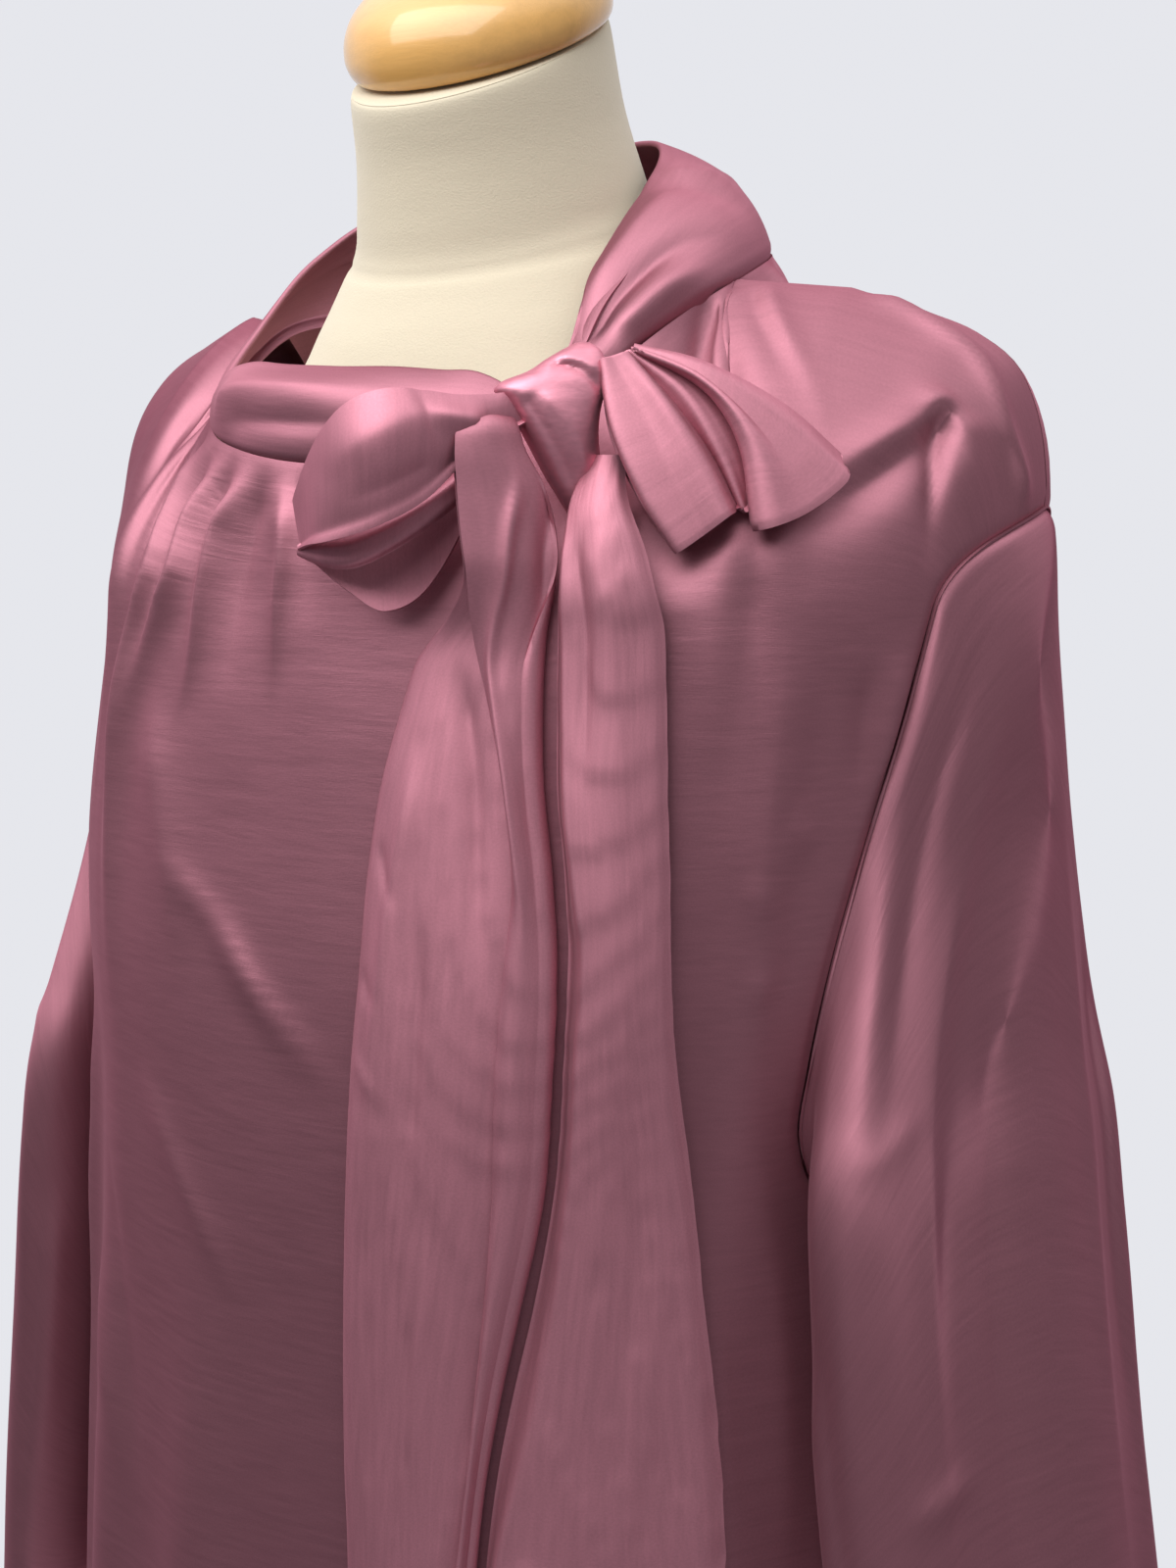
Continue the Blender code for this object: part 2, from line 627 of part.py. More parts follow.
def sleeve_grid(side):
    """Rings of a sleeve from its armhole down, and their normals; the wearer's left for side 1."""
    front, front_normals, front_away = panel_edge(side, 1)
    back, back_normals, back_away = panel_edge(side, -1)
    loop = np.concatenate([front, back[-2:0:-1]]) * (side, 1, 1)
    under = len(front) - 1
    loop[0] = (front[0] + back[0]) / 2 * (side, 1, 1)
    loop[under] = (front[-1] + back[-1]) / 2 * (side, 1, 1)
    edge_normals = np.concatenate([front_normals, back_normals[-2:0:-1]])
    away = np.concatenate([front_away, back_away[-2:0:-1]])
    away[0] = (0, 0, -1)
    away = away / np.linalg.norm(away, axis=1)[:, None] * (side, 1, 1)
    turn = math.pi * np.concatenate([share_of_length(front), 2 - share_of_length(back)[-2:0:-1]])
    inner = ease((np.abs(1 - turn / math.pi) - UNDERARM_SHARE) / UNDERARM_FADE)
    drop_to_turn = SLEEVE_TURN * inner + UNDERARM_TURN * (1 - inner)
    rings = []
    for share in SLEEVE_STEPS:
        height = loop[:, 2] + (CUFF_HEIGHT - loop[:, 2]) * share
        here = sleeve_section(turn, height)
        start = sleeve_section(turn, loop[:, 2])
        fade = np.exp(-(loop[:, 2] - height) / drop_to_turn)[:, None]
        plan = here + (loop[:, :2] - start) * fade
        wave = np.cos(SLEEVE_FOLDS * turn + SLEEVE_FOLD_START)
        fold = SLEEVE_FOLD * wave * ease(share / SLEEVE_FOLD_LENGTH)
        plan = plan + (fold * np.cos(turn))[:, None] * (1.0, 0.0)
        rings.append(np.column_stack([plan, height]))
    grid = np.array(rings)
    leave = grid[1] - grid[0]
    leave = leave / np.linalg.norm(leave, axis=1)[:, None]
    inner = inner[:, None]
    grid[0] = grid[0] + away * SLEEVE_ROOM * inner + leave * UNDERARM_ROOM * (1 - inner)
    grid = grid * (side, 1, 1)
    normals = -side * grid_normals(grid, closed=True)
    meeting = edge_normals + (1 - inner) * normals[0]
    normals[0] = meeting / np.linalg.norm(meeting, axis=1)[:, None]
    return grid, normals


def new_object(name, grid_points, faces, finish):
    colour, roughness, metallic = finish
    mesh = bpy.data.meshes.new(name)
    mesh.from_pydata([tuple(p) for p in grid_points], [], faces)
    mesh.update()
    mesh.shade_smooth()
    material = bpy.data.materials.new(name + "_finish")
    material.use_nodes = True
    shader = material.node_tree.nodes["Principled BSDF"]
    shader.inputs["Base Color"].default_value = (*colour, 1.0)
    shader.inputs["Roughness"].default_value = roughness
    shader.inputs["Metallic"].default_value = metallic
    mesh.materials.append(material)
    made = bpy.data.objects.new(name, mesh)
    bpy.context.scene.collection.objects.link(made)
    return made


def wall(name, grid, normals, thickness, closed=False):
    """A wall on a grid of points, closed at its edges. Normals point out of its outer side."""
    rows, columns = grid.shape[:2]
    outer = (grid + normals * thickness / 2).reshape(-1, 3)
    inner = (grid - normals * thickness / 2).reshape(-1, 3)
    size = rows * columns
    spans = columns if closed else columns - 1
    faces = []
    for row in range(rows - 1):
        for column in range(spans):
            following = (column + 1) % columns
            quad = (
                row * columns + column,
                (row + 1) * columns + column,
                (row + 1) * columns + following,
                row * columns + following,
            )
            faces.append(quad)
            faces.append(tuple(size + corner for corner in reversed(quad)))
    for column in range(spans):
        following = (column + 1) % columns
        last = (rows - 1) * columns
        faces.append((column, following, size + following, size + column))
        faces.append((last + following, last + column, size + last + column, size + last + following))
    if not closed:
        for row in range(rows - 1):
            left, below = row * columns, (row + 1) * columns
            right, corner = left + columns - 1, below + columns - 1
            faces.append((below, left, size + left, size + below))
            faces.append((right, corner, size + corner, size + right))
    return new_object(name, np.concatenate([outer, inner]), faces, SATIN)


def turned(name, rings, finish):
    """A closed body from rings of points, its first and last rings closed by fans."""
    rings = np.asarray(rings)
    count, sides = rings.shape[:2]
    ends = [rings[0].mean(axis=0), rings[-1].mean(axis=0)]
    faces = []
    for ring in range(count - 1):
        for side in range(sides):
            following = (side + 1) % sides
            low, high = ring * sides, (ring + 1) * sides
            faces.append((low + side, low + following, high + following, high + side))
    first, last = count * sides, count * sides + 1
    for side in range(sides):
        following = (side + 1) % sides
        top = (count - 1) * sides
        faces.append((first, following, side))
        faces.append((last, top + side, top + following))
    all_points = np.concatenate([rings.reshape(-1, 3), ends])
    return new_object(name, all_points, faces, finish)


def build_panels():
    for name, facing in (("front", 1), ("back", -1)):
        columns, heights = panel_sizes(facing)
        grid = panel_grid(facing, columns, panel_rows(heights))
        normals = panel_normals(grid, columns, facing)
        wall(name, grid[:, ::facing], normals[:, ::facing], WALL)


def build_sleeves():
    for name, side in (("left_sleeve", 1), ("right_sleeve", -1)):
        grid, normals = sleeve_grid(side)
        wall(name, grid[:, ::-side], normals[:, ::-side], WALL, closed=True)


def band_grid(columns, rows):
    """The collar from its free edge down to the neckline, from the knot round the back to the knot."""
    angles = np.linspace(BAND[0][0], BAND[-1][0], columns)
    width, lean, puff = np.moveaxis(read_rows(BAND, angles), -1, 0)
    wrapped = np.where(angles > BAND_HALF_WAY, angles - 360, angles)
    base = neckline(wrapped)
    turn, tilt = np.radians(angles), np.radians(lean)
    inward = points(-np.sin(turn), np.cos(turn), 0.0)
    up = np.array((0.0, 0.0, 1.0))
    rise = np.cos(tilt)[:, None] * up + np.sin(tilt)[:, None] * inward
    out = np.sin(tilt)[:, None] * up - np.cos(tilt)[:, None] * inward
    grid = []
    for share in np.linspace(1, 0, rows):
        bulge = puff * 4 * share * (1 - share)
        reach = width * share + BAND_ROOM
        grid.append(base + rise * reach[:, None] + out * bulge[:, None])
    return np.array(grid)


def build_band():
    grid = band_grid(BAND_COLUMNS, BAND_ROWS)
    normals = grid_normals(grid)
    normals[-1] = neck_normals(grid[-1])
    wall("neck_band", grid, normals, DOUBLE_WALL)


def bow_axes():
    """The bow's middle, and its ways across and out."""
    turn = math.radians(KNOT_ANGLE)
    outward = np.array((math.sin(turn), -math.cos(turn), 0.0))
    sideways = np.array((math.cos(turn), math.sin(turn), 0.0))
    return outward * KNOT_REACH + (0, 0, KNOT_HEIGHT), sideways, outward


def bow_point(across, up, out):
    """A point laid out on the bow's own plane, in the blouse's frame."""
    centre, sideways, outward = bow_axes()
    return (
        centre
        + np.multiply.outer(across, sideways)
        + np.multiply.outer(up, (0, 0, 1.0))
        + np.multiply.outer(out, outward)
    )


def bow_frame(at):
    """Across, up and out on the bow's own plane, of points in the blouse's frame."""
    centre, sideways, outward = bow_axes()
    offset = at - centre
    return np.stack([offset @ sideways, offset[..., 2], offset @ outward], axis=-1)


def fine_front():
    """Outer face of the front as a dense set of points."""
    start, end, columns, top, rows = REST_GRID
    grid = panel_grid(1, np.linspace(start, end, columns), np.linspace(top, 2, rows))
    return (grid + grid_normals(grid) * WALL / 2).reshape(-1, 3)


def rest_on(surface, first, second):
    """How far out a surface comes near each place, smoothed over the grid of places."""
    out = np.zeros(first.shape)
    for at in np.ndindex(first.shape):
        near = np.hypot(surface[:, 0] - first[at], surface[:, 1] - second[at]) < REST_RADIUS
        out[at] = surface[near, 2].max() if near.any() else np.nan
    out = np.where(np.isnan(out), np.nanmin(out), out)
    for _ in range(2):
        wide = np.pad(out, 1, mode="edge")
        blurred = (wide[:-2, 1:-1] + wide[2:, 1:-1] + wide[1:-1, :-2] + wide[1:-1, 2:]) / 4
        out = np.maximum(out, (out + blurred) / 2)
    return out


def build_knot():
    turn = np.arange(KNOT_SIDES) * 2 * math.pi / KNOT_SIDES
    rings = []
    for up, near, far, half_depth in KNOT:
        ridge = 1 + KNOT_RIDGE * np.cos(KNOT_RIDGES * turn + KNOT_TWIST * up)
        across = (near + far) / 2 + (far - near) / 2 * np.cos(turn)
        out = half_depth * np.sin(turn) * ridge
        rings.append(bow_point(across, up + 0 * turn, -out))
    turned("knot", rings, SATIN)


def build_loop_right():
    """The loop on the wearer's right: out along its front layer, round its end, back along the other."""
    out_and_back = np.linspace(0, 2, 2 * LOOP_RIGHT_STEPS - 1)
    path = 1 - np.abs(out_and_back - 1)
    on_back = (1 + np.sign(np.round(out_and_back - 1, 6))) / 2
    reach, upper, lower_front, lower_back, lift_front, lift_back = np.moveaxis(
        read_rows(LOOP_RIGHT, path), -1, 0
    )
    lower = lower_front + (lower_back - lower_front) * on_back
    lift = lift_front + (lift_back - lift_front) * on_back
    lift = lift - LOOP_BEND * (reach / reach.max()) ** 2
    grid = []
    for share in np.linspace(0, 1, LOOP_ROWS):
        crown = LOOP_CROWN * (1 - (2 * share - 1) ** 2) * (1 - 2 * on_back) * np.sin(math.pi * path)
        up = upper + (lower - upper) * share
        tip = LOOP_TIP * share * np.clip((path - LOOP_TIP_START) / (1 - LOOP_TIP_START), 0, 1)
        across = tip - reach - LOOP_SKEW * lift
        grid.append(bow_point(across, up, lift + crown))
    grid = np.array(grid)
    wall("bow_loop_right", grid, grid_normals(grid), LOOP_WALL)


def build_loop_left(surface):
    """The loop on the wearer's left, a flat loop laid in three pleats over the front."""
    along = np.linspace(0, 1, LOOP_LEFT_STEPS)
    path = np.concatenate([along, along[::-1]])
    under = np.repeat((0.0, 1.0), LOOP_LEFT_STEPS)
    shares = np.array([row[0] for row in LOOP_LEFT])
    shares = np.sort(np.concatenate([shares, (shares[1:] + shares[:-1]) / 2]))
    root_across, root_up, end_across, end_up, end_lift = read_rows(LOOP_LEFT, shares).T[..., None]
    across = root_across + (end_across - root_across) * path
    up = root_up + (end_up - root_up) * path
    across = across - LOOP_SKEW * LOOP_RISE * path
    ground = rest_on(bow_frame(surface), across, up)
    arch = LOOP_CROWN * np.sin(math.pi * path)
    lift = end_lift * path + (1 - under) * (LOOP_LAYERS + arch)
    root = np.maximum(ground, LOOP_ROOT)
    out = root + (ground - root) * ease(path / LOOP_LANDING) + LOOP_ROOM + lift
    grid = bow_point(across, up, out)[:, ::-1]
    wall("bow_loop_left", grid, grid_normals(grid), LOOP_WALL)


def build_tails(surface):
    for name, rows, heights, fold in (
        ("tie_tail_right", TAIL_RIGHT, TAIL_RIGHT_HEIGHTS, TAIL_RIGHT_FOLD),
        ("tie_tail_left", TAIL_LEFT, TAIL_LEFT_HEIGHTS, TAIL_LEFT_FOLD),
    ):
        share, height = np.meshgrid(np.linspace(0, 1, TAIL_COLUMNS), heights)
        near, far, lift = np.moveaxis(read_rows(rows, height), -1, 0)
        x = near + (far - near) * share
        ground = rest_on(surface[:, (0, 2, 1)] * (1, 1, -1), x, height)
        wave = fold * (1 + np.sin(math.pi * share * TAIL_WAVES + TAIL_WAVE_START))
        grid = points(x, -ground - DOUBLE_WALL / 2 - lift - wave, height)
        wall(name, grid, grid_normals(grid), DOUBLE_WALL)


def build_form():
    turn = np.arange(FORM_SIDES) * 2 * math.pi / FORM_SIDES
    rings = []
    for half_width, front, back, side_height, front_height, back_height in FORM:
        middle = read_rows(FORM_MIDDLE, side_height)[..., 0]
        facing_front = np.cos(turn) > 0
        depth = np.where(facing_front, front, back)
        level = np.where(facing_front, front_height, back_height)
        height = side_height + (level - side_height) * np.abs(np.cos(turn))
        rings.append(points(half_width * np.sin(turn), middle - depth * np.cos(turn), height))
    turned("form_body", rings, JERSEY)


def build_cap():
    turn = np.arange(ROUND_SIDES) * 2 * math.pi / ROUND_SIDES
    tilt = math.radians(CAP_TILT)
    rings = []
    for share, rise in CAP_PROFILE:
        x = CAP_RADIUS * share * np.sin(turn)
        forward = CAP_RADIUS * share * np.cos(turn)
        y = -forward * math.cos(tilt) - rise * math.sin(tilt)
        z = -forward * math.sin(tilt) + rise * math.cos(tilt)
        rings.append(points(x, y, z) + CAP_MIDDLE)
    turned("neck_cap", rings, CAP_WOOD)


def build_stand():
    turn = np.arange(ROUND_SIDES) * 2 * math.pi / ROUND_SIDES
    rings = [points(radius * np.sin(turn), -radius * np.cos(turn), height)
             for radius, height in BASE_PROFILE]
    turned("base", rings, BASE_PAINT)
    ends = (BASE_TOP + SEAM_ROOM, FORM_BOTTOM - SEAM_ROOM)
    rings = [points(POLE_RADIUS * np.sin(turn[::2]), -POLE_RADIUS * np.cos(turn[::2]), height)
             for height in ends]
    turned("pole", rings, POLE_STEEL)


def main():
    for old in list(bpy.data.objects):
        bpy.data.objects.remove(old, do_unlink=True)
    build_panels()
    build_sleeves()
    build_band()
    build_knot()
    build_loop_right()
    surface = fine_front()
    build_loop_left(surface)
    build_tails(surface)
    build_form()
    build_cap()
    build_stand()


if __name__ == "__main__":
    main()
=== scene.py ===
"""A tie-neck satin blouse with a side bow, on a limbless dress form, dressed over its CAD frame.

Metres, +Z up. The wearer's front looks towards -Y and the wearer's left towards +X.
Each operator adds one piece, or a group of like pieces, and hides the CAD solid that it stands for.
"""

import math

import bpy
import numpy as np
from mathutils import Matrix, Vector


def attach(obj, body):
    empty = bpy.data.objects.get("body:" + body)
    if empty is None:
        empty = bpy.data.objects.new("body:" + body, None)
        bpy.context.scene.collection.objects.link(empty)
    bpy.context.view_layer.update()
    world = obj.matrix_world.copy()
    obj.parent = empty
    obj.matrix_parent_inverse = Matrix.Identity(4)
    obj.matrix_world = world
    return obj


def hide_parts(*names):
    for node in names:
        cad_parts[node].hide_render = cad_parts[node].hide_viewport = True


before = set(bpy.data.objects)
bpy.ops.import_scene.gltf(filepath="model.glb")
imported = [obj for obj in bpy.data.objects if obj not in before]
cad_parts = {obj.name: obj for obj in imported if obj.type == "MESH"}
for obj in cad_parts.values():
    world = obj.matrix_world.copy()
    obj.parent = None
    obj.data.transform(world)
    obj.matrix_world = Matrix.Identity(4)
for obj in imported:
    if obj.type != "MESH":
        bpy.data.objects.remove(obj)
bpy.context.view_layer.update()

bl_info = {
    "name": "Tie-neck blouse",
    "version": (1, 0, 0),
    "blender": (4, 5, 0),
    "location": "View3D > Sidebar > Blouse",
    "description": "Adds a satin blouse with a side bow, piece by piece, on its dress form",
    "category": "Object",
}


def metres(*rows, plain=()):
    """A table written in millimetres, given back in metres but for its plain columns."""
    scale = [1 if column in plain else 1000 for column in range(len(rows[0]))]
    return np.array(rows, float) / scale


# Cloth thickness and the room left between pieces
WALL = 0.0015
DOUBLE_WALL = 0.0020
SEAM_ROOM = 0.0005
BAND_ROOM = 0.0003
# Half the length across a panel, from which the room at its sides is worked out
HALF_ACROSS = 0.25
# Share of the neckline from which the shoulder seam's room opens
SEAM_START = 0.85

# Blouse lengths
HEM_HEIGHT = 0.765
CHEST_HEIGHT = 1.285
UNDERARM_HEIGHT = 1.030
CUFF_HEIGHT = 0.775
NECKLINE_SHARE = 0.52

# Rows: angle round the neck in degrees, radius, height
NECKLINE = metres(
    (-205, 109, 1434),
    (-180, 106, 1432),
    (-145, 110, 1424),
    (-110, 120, 1411),
    (-90, 124, 1401),
    (-75, 126.5, 1381),
    (-58, 127, 1361),
    (-30, 122, 1346),
    (0, 116, 1340),
    (25, 114.5, 1347),
    (45, 114, 1360),
    (60, 113, 1384),
    (75, 112.5, 1402),
    (90, 112, 1414),
    (122, 113, 1430),
    (155, 109, 1434),
    (180, 106, 1432),
    (215, 110, 1424),
    plain=(0,),
)

# How much narrower the wearer's right side is at the chest, and the height where that starts
RIGHT_NARROWER = 0.016
NARROWER_START = 1.17

# Rows: share of the shoulder seam, distance from the middle, depth, height
SHOULDER = metres(
    (0.3, 155, 16, 1410),
    (0.48, 182, 22, 1400.5),
    (0.64, 205, 26, 1391),
    (0.78, 222, 30, 1375.5),
    (0.89, 230, 32, 1353),
    (1, 233.5, 32, 1323),
    plain=(0,),
)

# Rows: height, half width, depth of the side, front depth, back depth, squareness
BODY = metres(
    (765, 207, 4, 176, 150, 2.1),
    (900, 201, 3, 168, 144, 2.1),
    (1000, 196, 1, 160, 138, 2.1),
    (1080, 194, 3, 157, 134, 2.2),
    (1140, 202, 8, 156, 130, 2.3),
    (1200, 210, 14, 153, 124, 2.3),
    (1240, 215, 18, 151, 118, 2.3),
    (1285, 220, 22, 147, 110, 2.3),
    plain=(5,),
)

# Rows: height, angle of the front edge, angle of the back edge, both in degrees
ARMHOLE = metres(
    (1030, 90, 90),
    (1045, 79, 80),
    (1060, 70, 72),
    (1080, 66, 69),
    (1110, 65.5, 68),
    (1160, 66.5, 69),
    (1200, 68.5, 71),
    (1240, 71, 73),
    (1285, 73.5, 76),
    plain=(1, 2),
)

# How the panels leave their top edges: outwards and down at the neckline, and over the shoulder
LEAVE_NECK = (0.35, 0.94)
LEAVE_SHOULDER = (0.92, 0.30)
# Place across where the neckline's way starts to give way to the shoulder's, and how far that takes
NECK_WAY_END = 0.364
NECK_WAY_FADE = 0.25
# Drop below the chest over which the panel's direction there is taken
CHEST_STEP = 0.02

# Gathers widen by this share for each metre, rise within this length, and die out at this rate
GATHER_WIDENING = 4.4
GATHER_START = 0.010
GATHER_FADE = 1.4
# Height over which a long fold reaches its full size, and share of a panel over which folds end at its side
HANG_LENGTH = 0.30
SIDE_FADE = 0.12
# Rows: place across the panel, width, rise, length down the panel
FRONT_GATHERS = (
    (-0.5, 0.018, 0.003, 0.1),
    (-0.445, 0.018, 0.0025, 0.2),
    (-0.385, 0.019, 0.003, 0.25),
    (-0.265, 0.019, 0.0015, 0.12),
    (-0.01, 0.022, 0.0035, 0.1),
    (0.35, 0.02, 0.004, 0.1),
    (0.475, 0.018, 0.0045, 0.12),
    (0.56, 0.032, 0.003, 0.18),
)
BACK_GATHERS = (
    (-0.4, 0.022, 0.005, 0.16),
    (-0.29, 0.024, 0.006, 0.26),
    (-0.17, 0.024, 0.005, 0.2),
    (-0.05, 0.026, 0.006, 0.32),
    (0.08, 0.024, 0.005, 0.22),
    (0.2, 0.024, 0.006, 0.28),
    (0.31, 0.022, 0.005, 0.18),
    (0.42, 0.022, 0.0055, 0.22),
)

# Long folds that hang to the hem. Rows: place round the ring, width, rise, height where they start
FRONT_HANGS = (
    (-0.66, 0.07, 0.007, 1.22),
    (-0.42, 0.08, 0.006, 1.16),
    (-0.14, 0.08, 0.008, 1.1),
    (0.6, 0.06, 0.006, 1.25),
    (0.78, 0.04, 0.004, 1.14),
)
BACK_HANGS = (
    (-0.72, 0.06, 0.006, 1.16),
    (-0.4, 0.08, 0.009, 1.22),
    (-0.06, 0.08, 0.01, 1.26),
    (0.3, 0.08, 0.009, 1.2),
    (0.68, 0.06, 0.007, 1.14),
)

# How far a sleeve drops while it turns out of its armhole
SLEEVE_TURN = 0.020
UNDERARM_TURN = 0.0025
# Depth, number and first angle of the soft folds round a sleeve
SLEEVE_FOLD = 0.004
SLEEVE_FOLDS = 5
SLEEVE_FOLD_START = 0.6
# Share of a sleeve's length over which its folds reach their full size
SLEEVE_FOLD_LENGTH = 0.6
SLEEVE_SQUARENESS = 2.4
# Share of half the armhole that counts as underarm, and the share over which that ends
UNDERARM_SHARE = 0.15
UNDERARM_FADE = 0.35
# Rows: height, middle, half thickness, front, back, how much the section slants outwards to the back
SLEEVE = metres(
    (775, 257, 27, -90, 84, 0.26),
    (850, 248, 27.5, -93, 83, 0.26),
    (940, 236, 27.5, -95, 82, 0.26),
    (1030, 226.5, 24.5, -94, 83, 0.25),
    (1075, 221.5, 23.5, -88, 85, 0.24),
    (1100, 218, 23, -78, 85, 0.23),
    (1140, 214, 23, -63, 84, 0.22),
    (1190, 209.5, 25, -50, 81, 0.2),
    (1250, 208, 30, -36, 76, 0.12),
    (1315, 208.5, 32, 0, 64, 0),
    plain=(5,),
)

# Angle past which the collar's rows have gone round the back to the wearer's right
BAND_HALF_WAY = 200
# Rows: angle round the neck, width across, inward lean in degrees, roundness
BAND = metres(
    (42, 10, 22, 1),
    (48, 23, 28, 4),
    (53, 36, 34, 7),
    (62, 44, 42, 10),
    (75, 52, 47, 12),
    (90, 57, 49, 12),
    (110, 61, 49, 11),
    (130, 63, 46, 10),
    (155, 61, 39, 8),
    (180, 56, 28, 7),
    (215, 49, 12, 6),
    (250, 40, 3, 5),
    (263, 29, 12, 4),
    (276, 20, 20, 3),
    (290, 14, 20, 3),
    (302, 14, 16, 2),
    (311, 26, 18, 3),
    (322, 34, 20, 5),
    (336, 38, 22, 7),
    (350, 40, 22, 8),
    (370, 37, 20, 7),
    (380, 32, 20, 5),
    (388, 27, 20, 3),
    (393, 20, 20, 2),
    (398, 9, 20, 1),
    plain=(0, 2),
)

# The bow is laid out in a plane that faces KNOT_ANGLE: across (towards the wearer's left), up, out
KNOT_ANGLE = 41.5
KNOT_REACH = 0.1425
KNOT_HEIGHT = 1.3575
# Ridges round the knot: share of its depth, number, and their turn in radians for each metre up
KNOT_RIDGE = 0.028
KNOT_RIDGES = 3
KNOT_TWIST = 80.0
# Depth behind the knot's middle from which its creases come in, and how far that takes
KNOT_BEHIND = 0.002
KNOT_CREASE_START = 0.006
# Rows: height over the knot's middle, edge towards the wearer's right, other edge, half depth
KNOT = metres(
    (-38, 5, 8.5, 2),
    (-35, 3.2, 12.5, 5),
    (-29, -0.5, 16, 8.5),
    (-20, -5.8, 16.5, 12),
    (-11, -10.5, 15, 15),
    (-1.3, -16, 15, 16.5),
    (6, -21, 16.5, 16),
    (10, -23.5, 18, 15),
    (13, -20, 18.5, 14),
    (16, -12, 18.5, 12.5),
    (21, -4, 17.5, 9.5),
    (25, 3, 15, 6),
    (27, 7, 12, 2),
)

# Rows: share of the loop's length, distance out, upper edge, lower edge of the front layer,
# lower edge of the back layer, lift of the front layer, lift of the back layer
LOOP_RIGHT = metres(
    (0, 10, 10, -2, -3, 8, -1),
    (0.1, 23, 7.8, -8, -12, 10.5, 0),
    (0.2, 36, 7, -17, -42, 15, 0),
    (0.32, 48, 8.5, -28.5, -62, 19.5, -1),
    (0.5, 65, 8.5, -38.5, -72.5, 25.5, -3),
    (0.7, 81, 1, -44.5, -65, 23.5, -4),
    (0.87, 93, -14.5, -47.5, -56, 16, -1),
    (1, 101, -31, -49.5, -52, 7, 4),
    plain=(0,),
)
# The right loop's wall, its rounding, and how far its lower corner is drawn in from a share of its length
LOOP_WALL = 0.0016
LOOP_CROWN = 0.006
LOOP_TIP = 0.003
LOOP_TIP_START = 0.8
# How far it bends back to the chest, and the slant of that bend
LOOP_BEND = 0.028
LOOP_SKEW = 0.165
# Share of the way out and back where it starts to turn round its end, and how far that takes
LOOP_TURN_START = 0.97
LOOP_TURN = 0.06
# The rolled lower edge of its mouth: how far it turns in, and its share of the height
LOOP_ROLL = 0.0022
LOOP_ROLL_SHARE = 0.06
# The left loop's room over the front and over its own lower layer, and how far out its root stands
LOOP_ROOM = 0.0005
LOOP_LAYER_ROOM = 0.002
LOOP_ROOT = 0.004

# Dress form. Rows: half width, front depth, back depth, height at the side, front, back
FORM = metres(
    (150, 92, 96, 722, 722, 722),
    (160, 100, 106, 733, 733, 733),
    (163, 104, 108, 800, 800, 800),
    (150, 98, 98, 900, 900, 900),
    (128, 94, 84, 1010, 1000, 1000),
    (142, 108, 88, 1100, 1090, 1090),
    (160, 122, 94, 1190, 1170, 1180),
    (174, 114, 92, 1270, 1215, 1240),
    (187, 104, 86, 1329, 1256.5, 1292),
    (194, 96, 80, 1357.5, 1286.5, 1322),
    (189, 89, 76, 1373.5, 1309.5, 1344),
    (167, 85, 74, 1379.3, 1327.5, 1359),
    (125, 84, 72, 1376, 1350, 1382),
    (97, 80, 70, 1386, 1372, 1408),
    (84, 75, 67, 1405, 1393, 1434),
    (73, 70, 65, 1427, 1408, 1452),
    (64, 64.5, 64, 1443, 1420, 1462),
    (60.5, 62, 60, 1456, 1433, 1476),
    (56, 59, 56, 1480, 1458, 1500),
    (53.5, 57, 55, 1506.6, 1478.2, 1533.5),
    (51.5, 55, 53, 1510.6, 1482.6, 1537.6),
)
# The neck leans forward. Rows: height at the side, middle of the ring
FORM_MIDDLE = metres(
    (720, 0),
    (1380, 0),
    (1440, -1),
    (1460, -6),
    (1510, -19),
)

CAP_RADIUS = 0.0575
CAP_TILT = 27.0
CAP_MIDDLE = (0.0, -0.0165, 1.5125)
# Rows: share of the cap's radius, height over its underside
CAP_PROFILE = (
    (0.86, 0),
    (0.96, 0.002),
    (1, 0.008),
    (0.985, 0.015),
    (0.9, 0.024),
    (0.72, 0.032),
    (0.45, 0.0375),
    (0.18, 0.0392),
)

POLE_RADIUS = 0.0160
BASE_TOP = 0.0640
FORM_BOTTOM = 0.7220
# Rows: radius, height
BASE_PROFILE = (
    (0.186, 0.0000),
    (0.190, 0.0040),
    (0.190, 0.0150),
    (0.184, 0.0210),
    (0.120, 0.0280),
    (0.050, 0.0360),
    (0.034, 0.0480),
    (0.030, BASE_TOP),
)

# Fine meshes. Rows: start across, end across, number of columns
FRONT_FINE = (
    (-1.00, -0.56, 46),
    (-0.56, -0.04, 110),
    (-0.04, 0.32, 40),
    (0.32, 0.62, 54),
    (0.62, 1.00, 42),
)
BACK_FINE = ((-1.00, -0.52, 36), (-0.52, 0.52, 110), (0.52, 1.00, 36))
# Rows down the yoke, and from the chest to the hem
YOKE_FINE = 68
LOWER_FINE = 94
# Rows down and columns along of the other fine meshes, and sides and rings of the round ones
SLEEVE_FINE_ROWS = 150
SLEEVE_JOIN_FINE = (34, 46)
COLLAR_FINE = (34, 280)
LOOP_RIGHT_FINE = (40, 84)
LOOP_PLEAT_FINE = (26, 90)
LOOP_LEFT_FINE = (150, 70)
KNOT_FINE = (70, 96)
TAIL_RIGHT_FINE = (190, 120)
TAIL_LEFT_FINE = (180, 80)
FORM_FINE = (96, 112)
CAP_FINE = (40, 96)
POLE_FINE = (2, 64)
BASE_FINE = (60, 128)
# Rows of the collar's inner layer, and of the fold along its top
COLLAR_INSIDE_ROWS = 10
COLLAR_FOLD_ROWS = 8
# Places across and down the front on which the bow and the tails rest: start, end, number
GROUND_ACROSS = (-0.5, 1.0, 200)
GROUND_DOWN = (0.02, 2.0, 260)
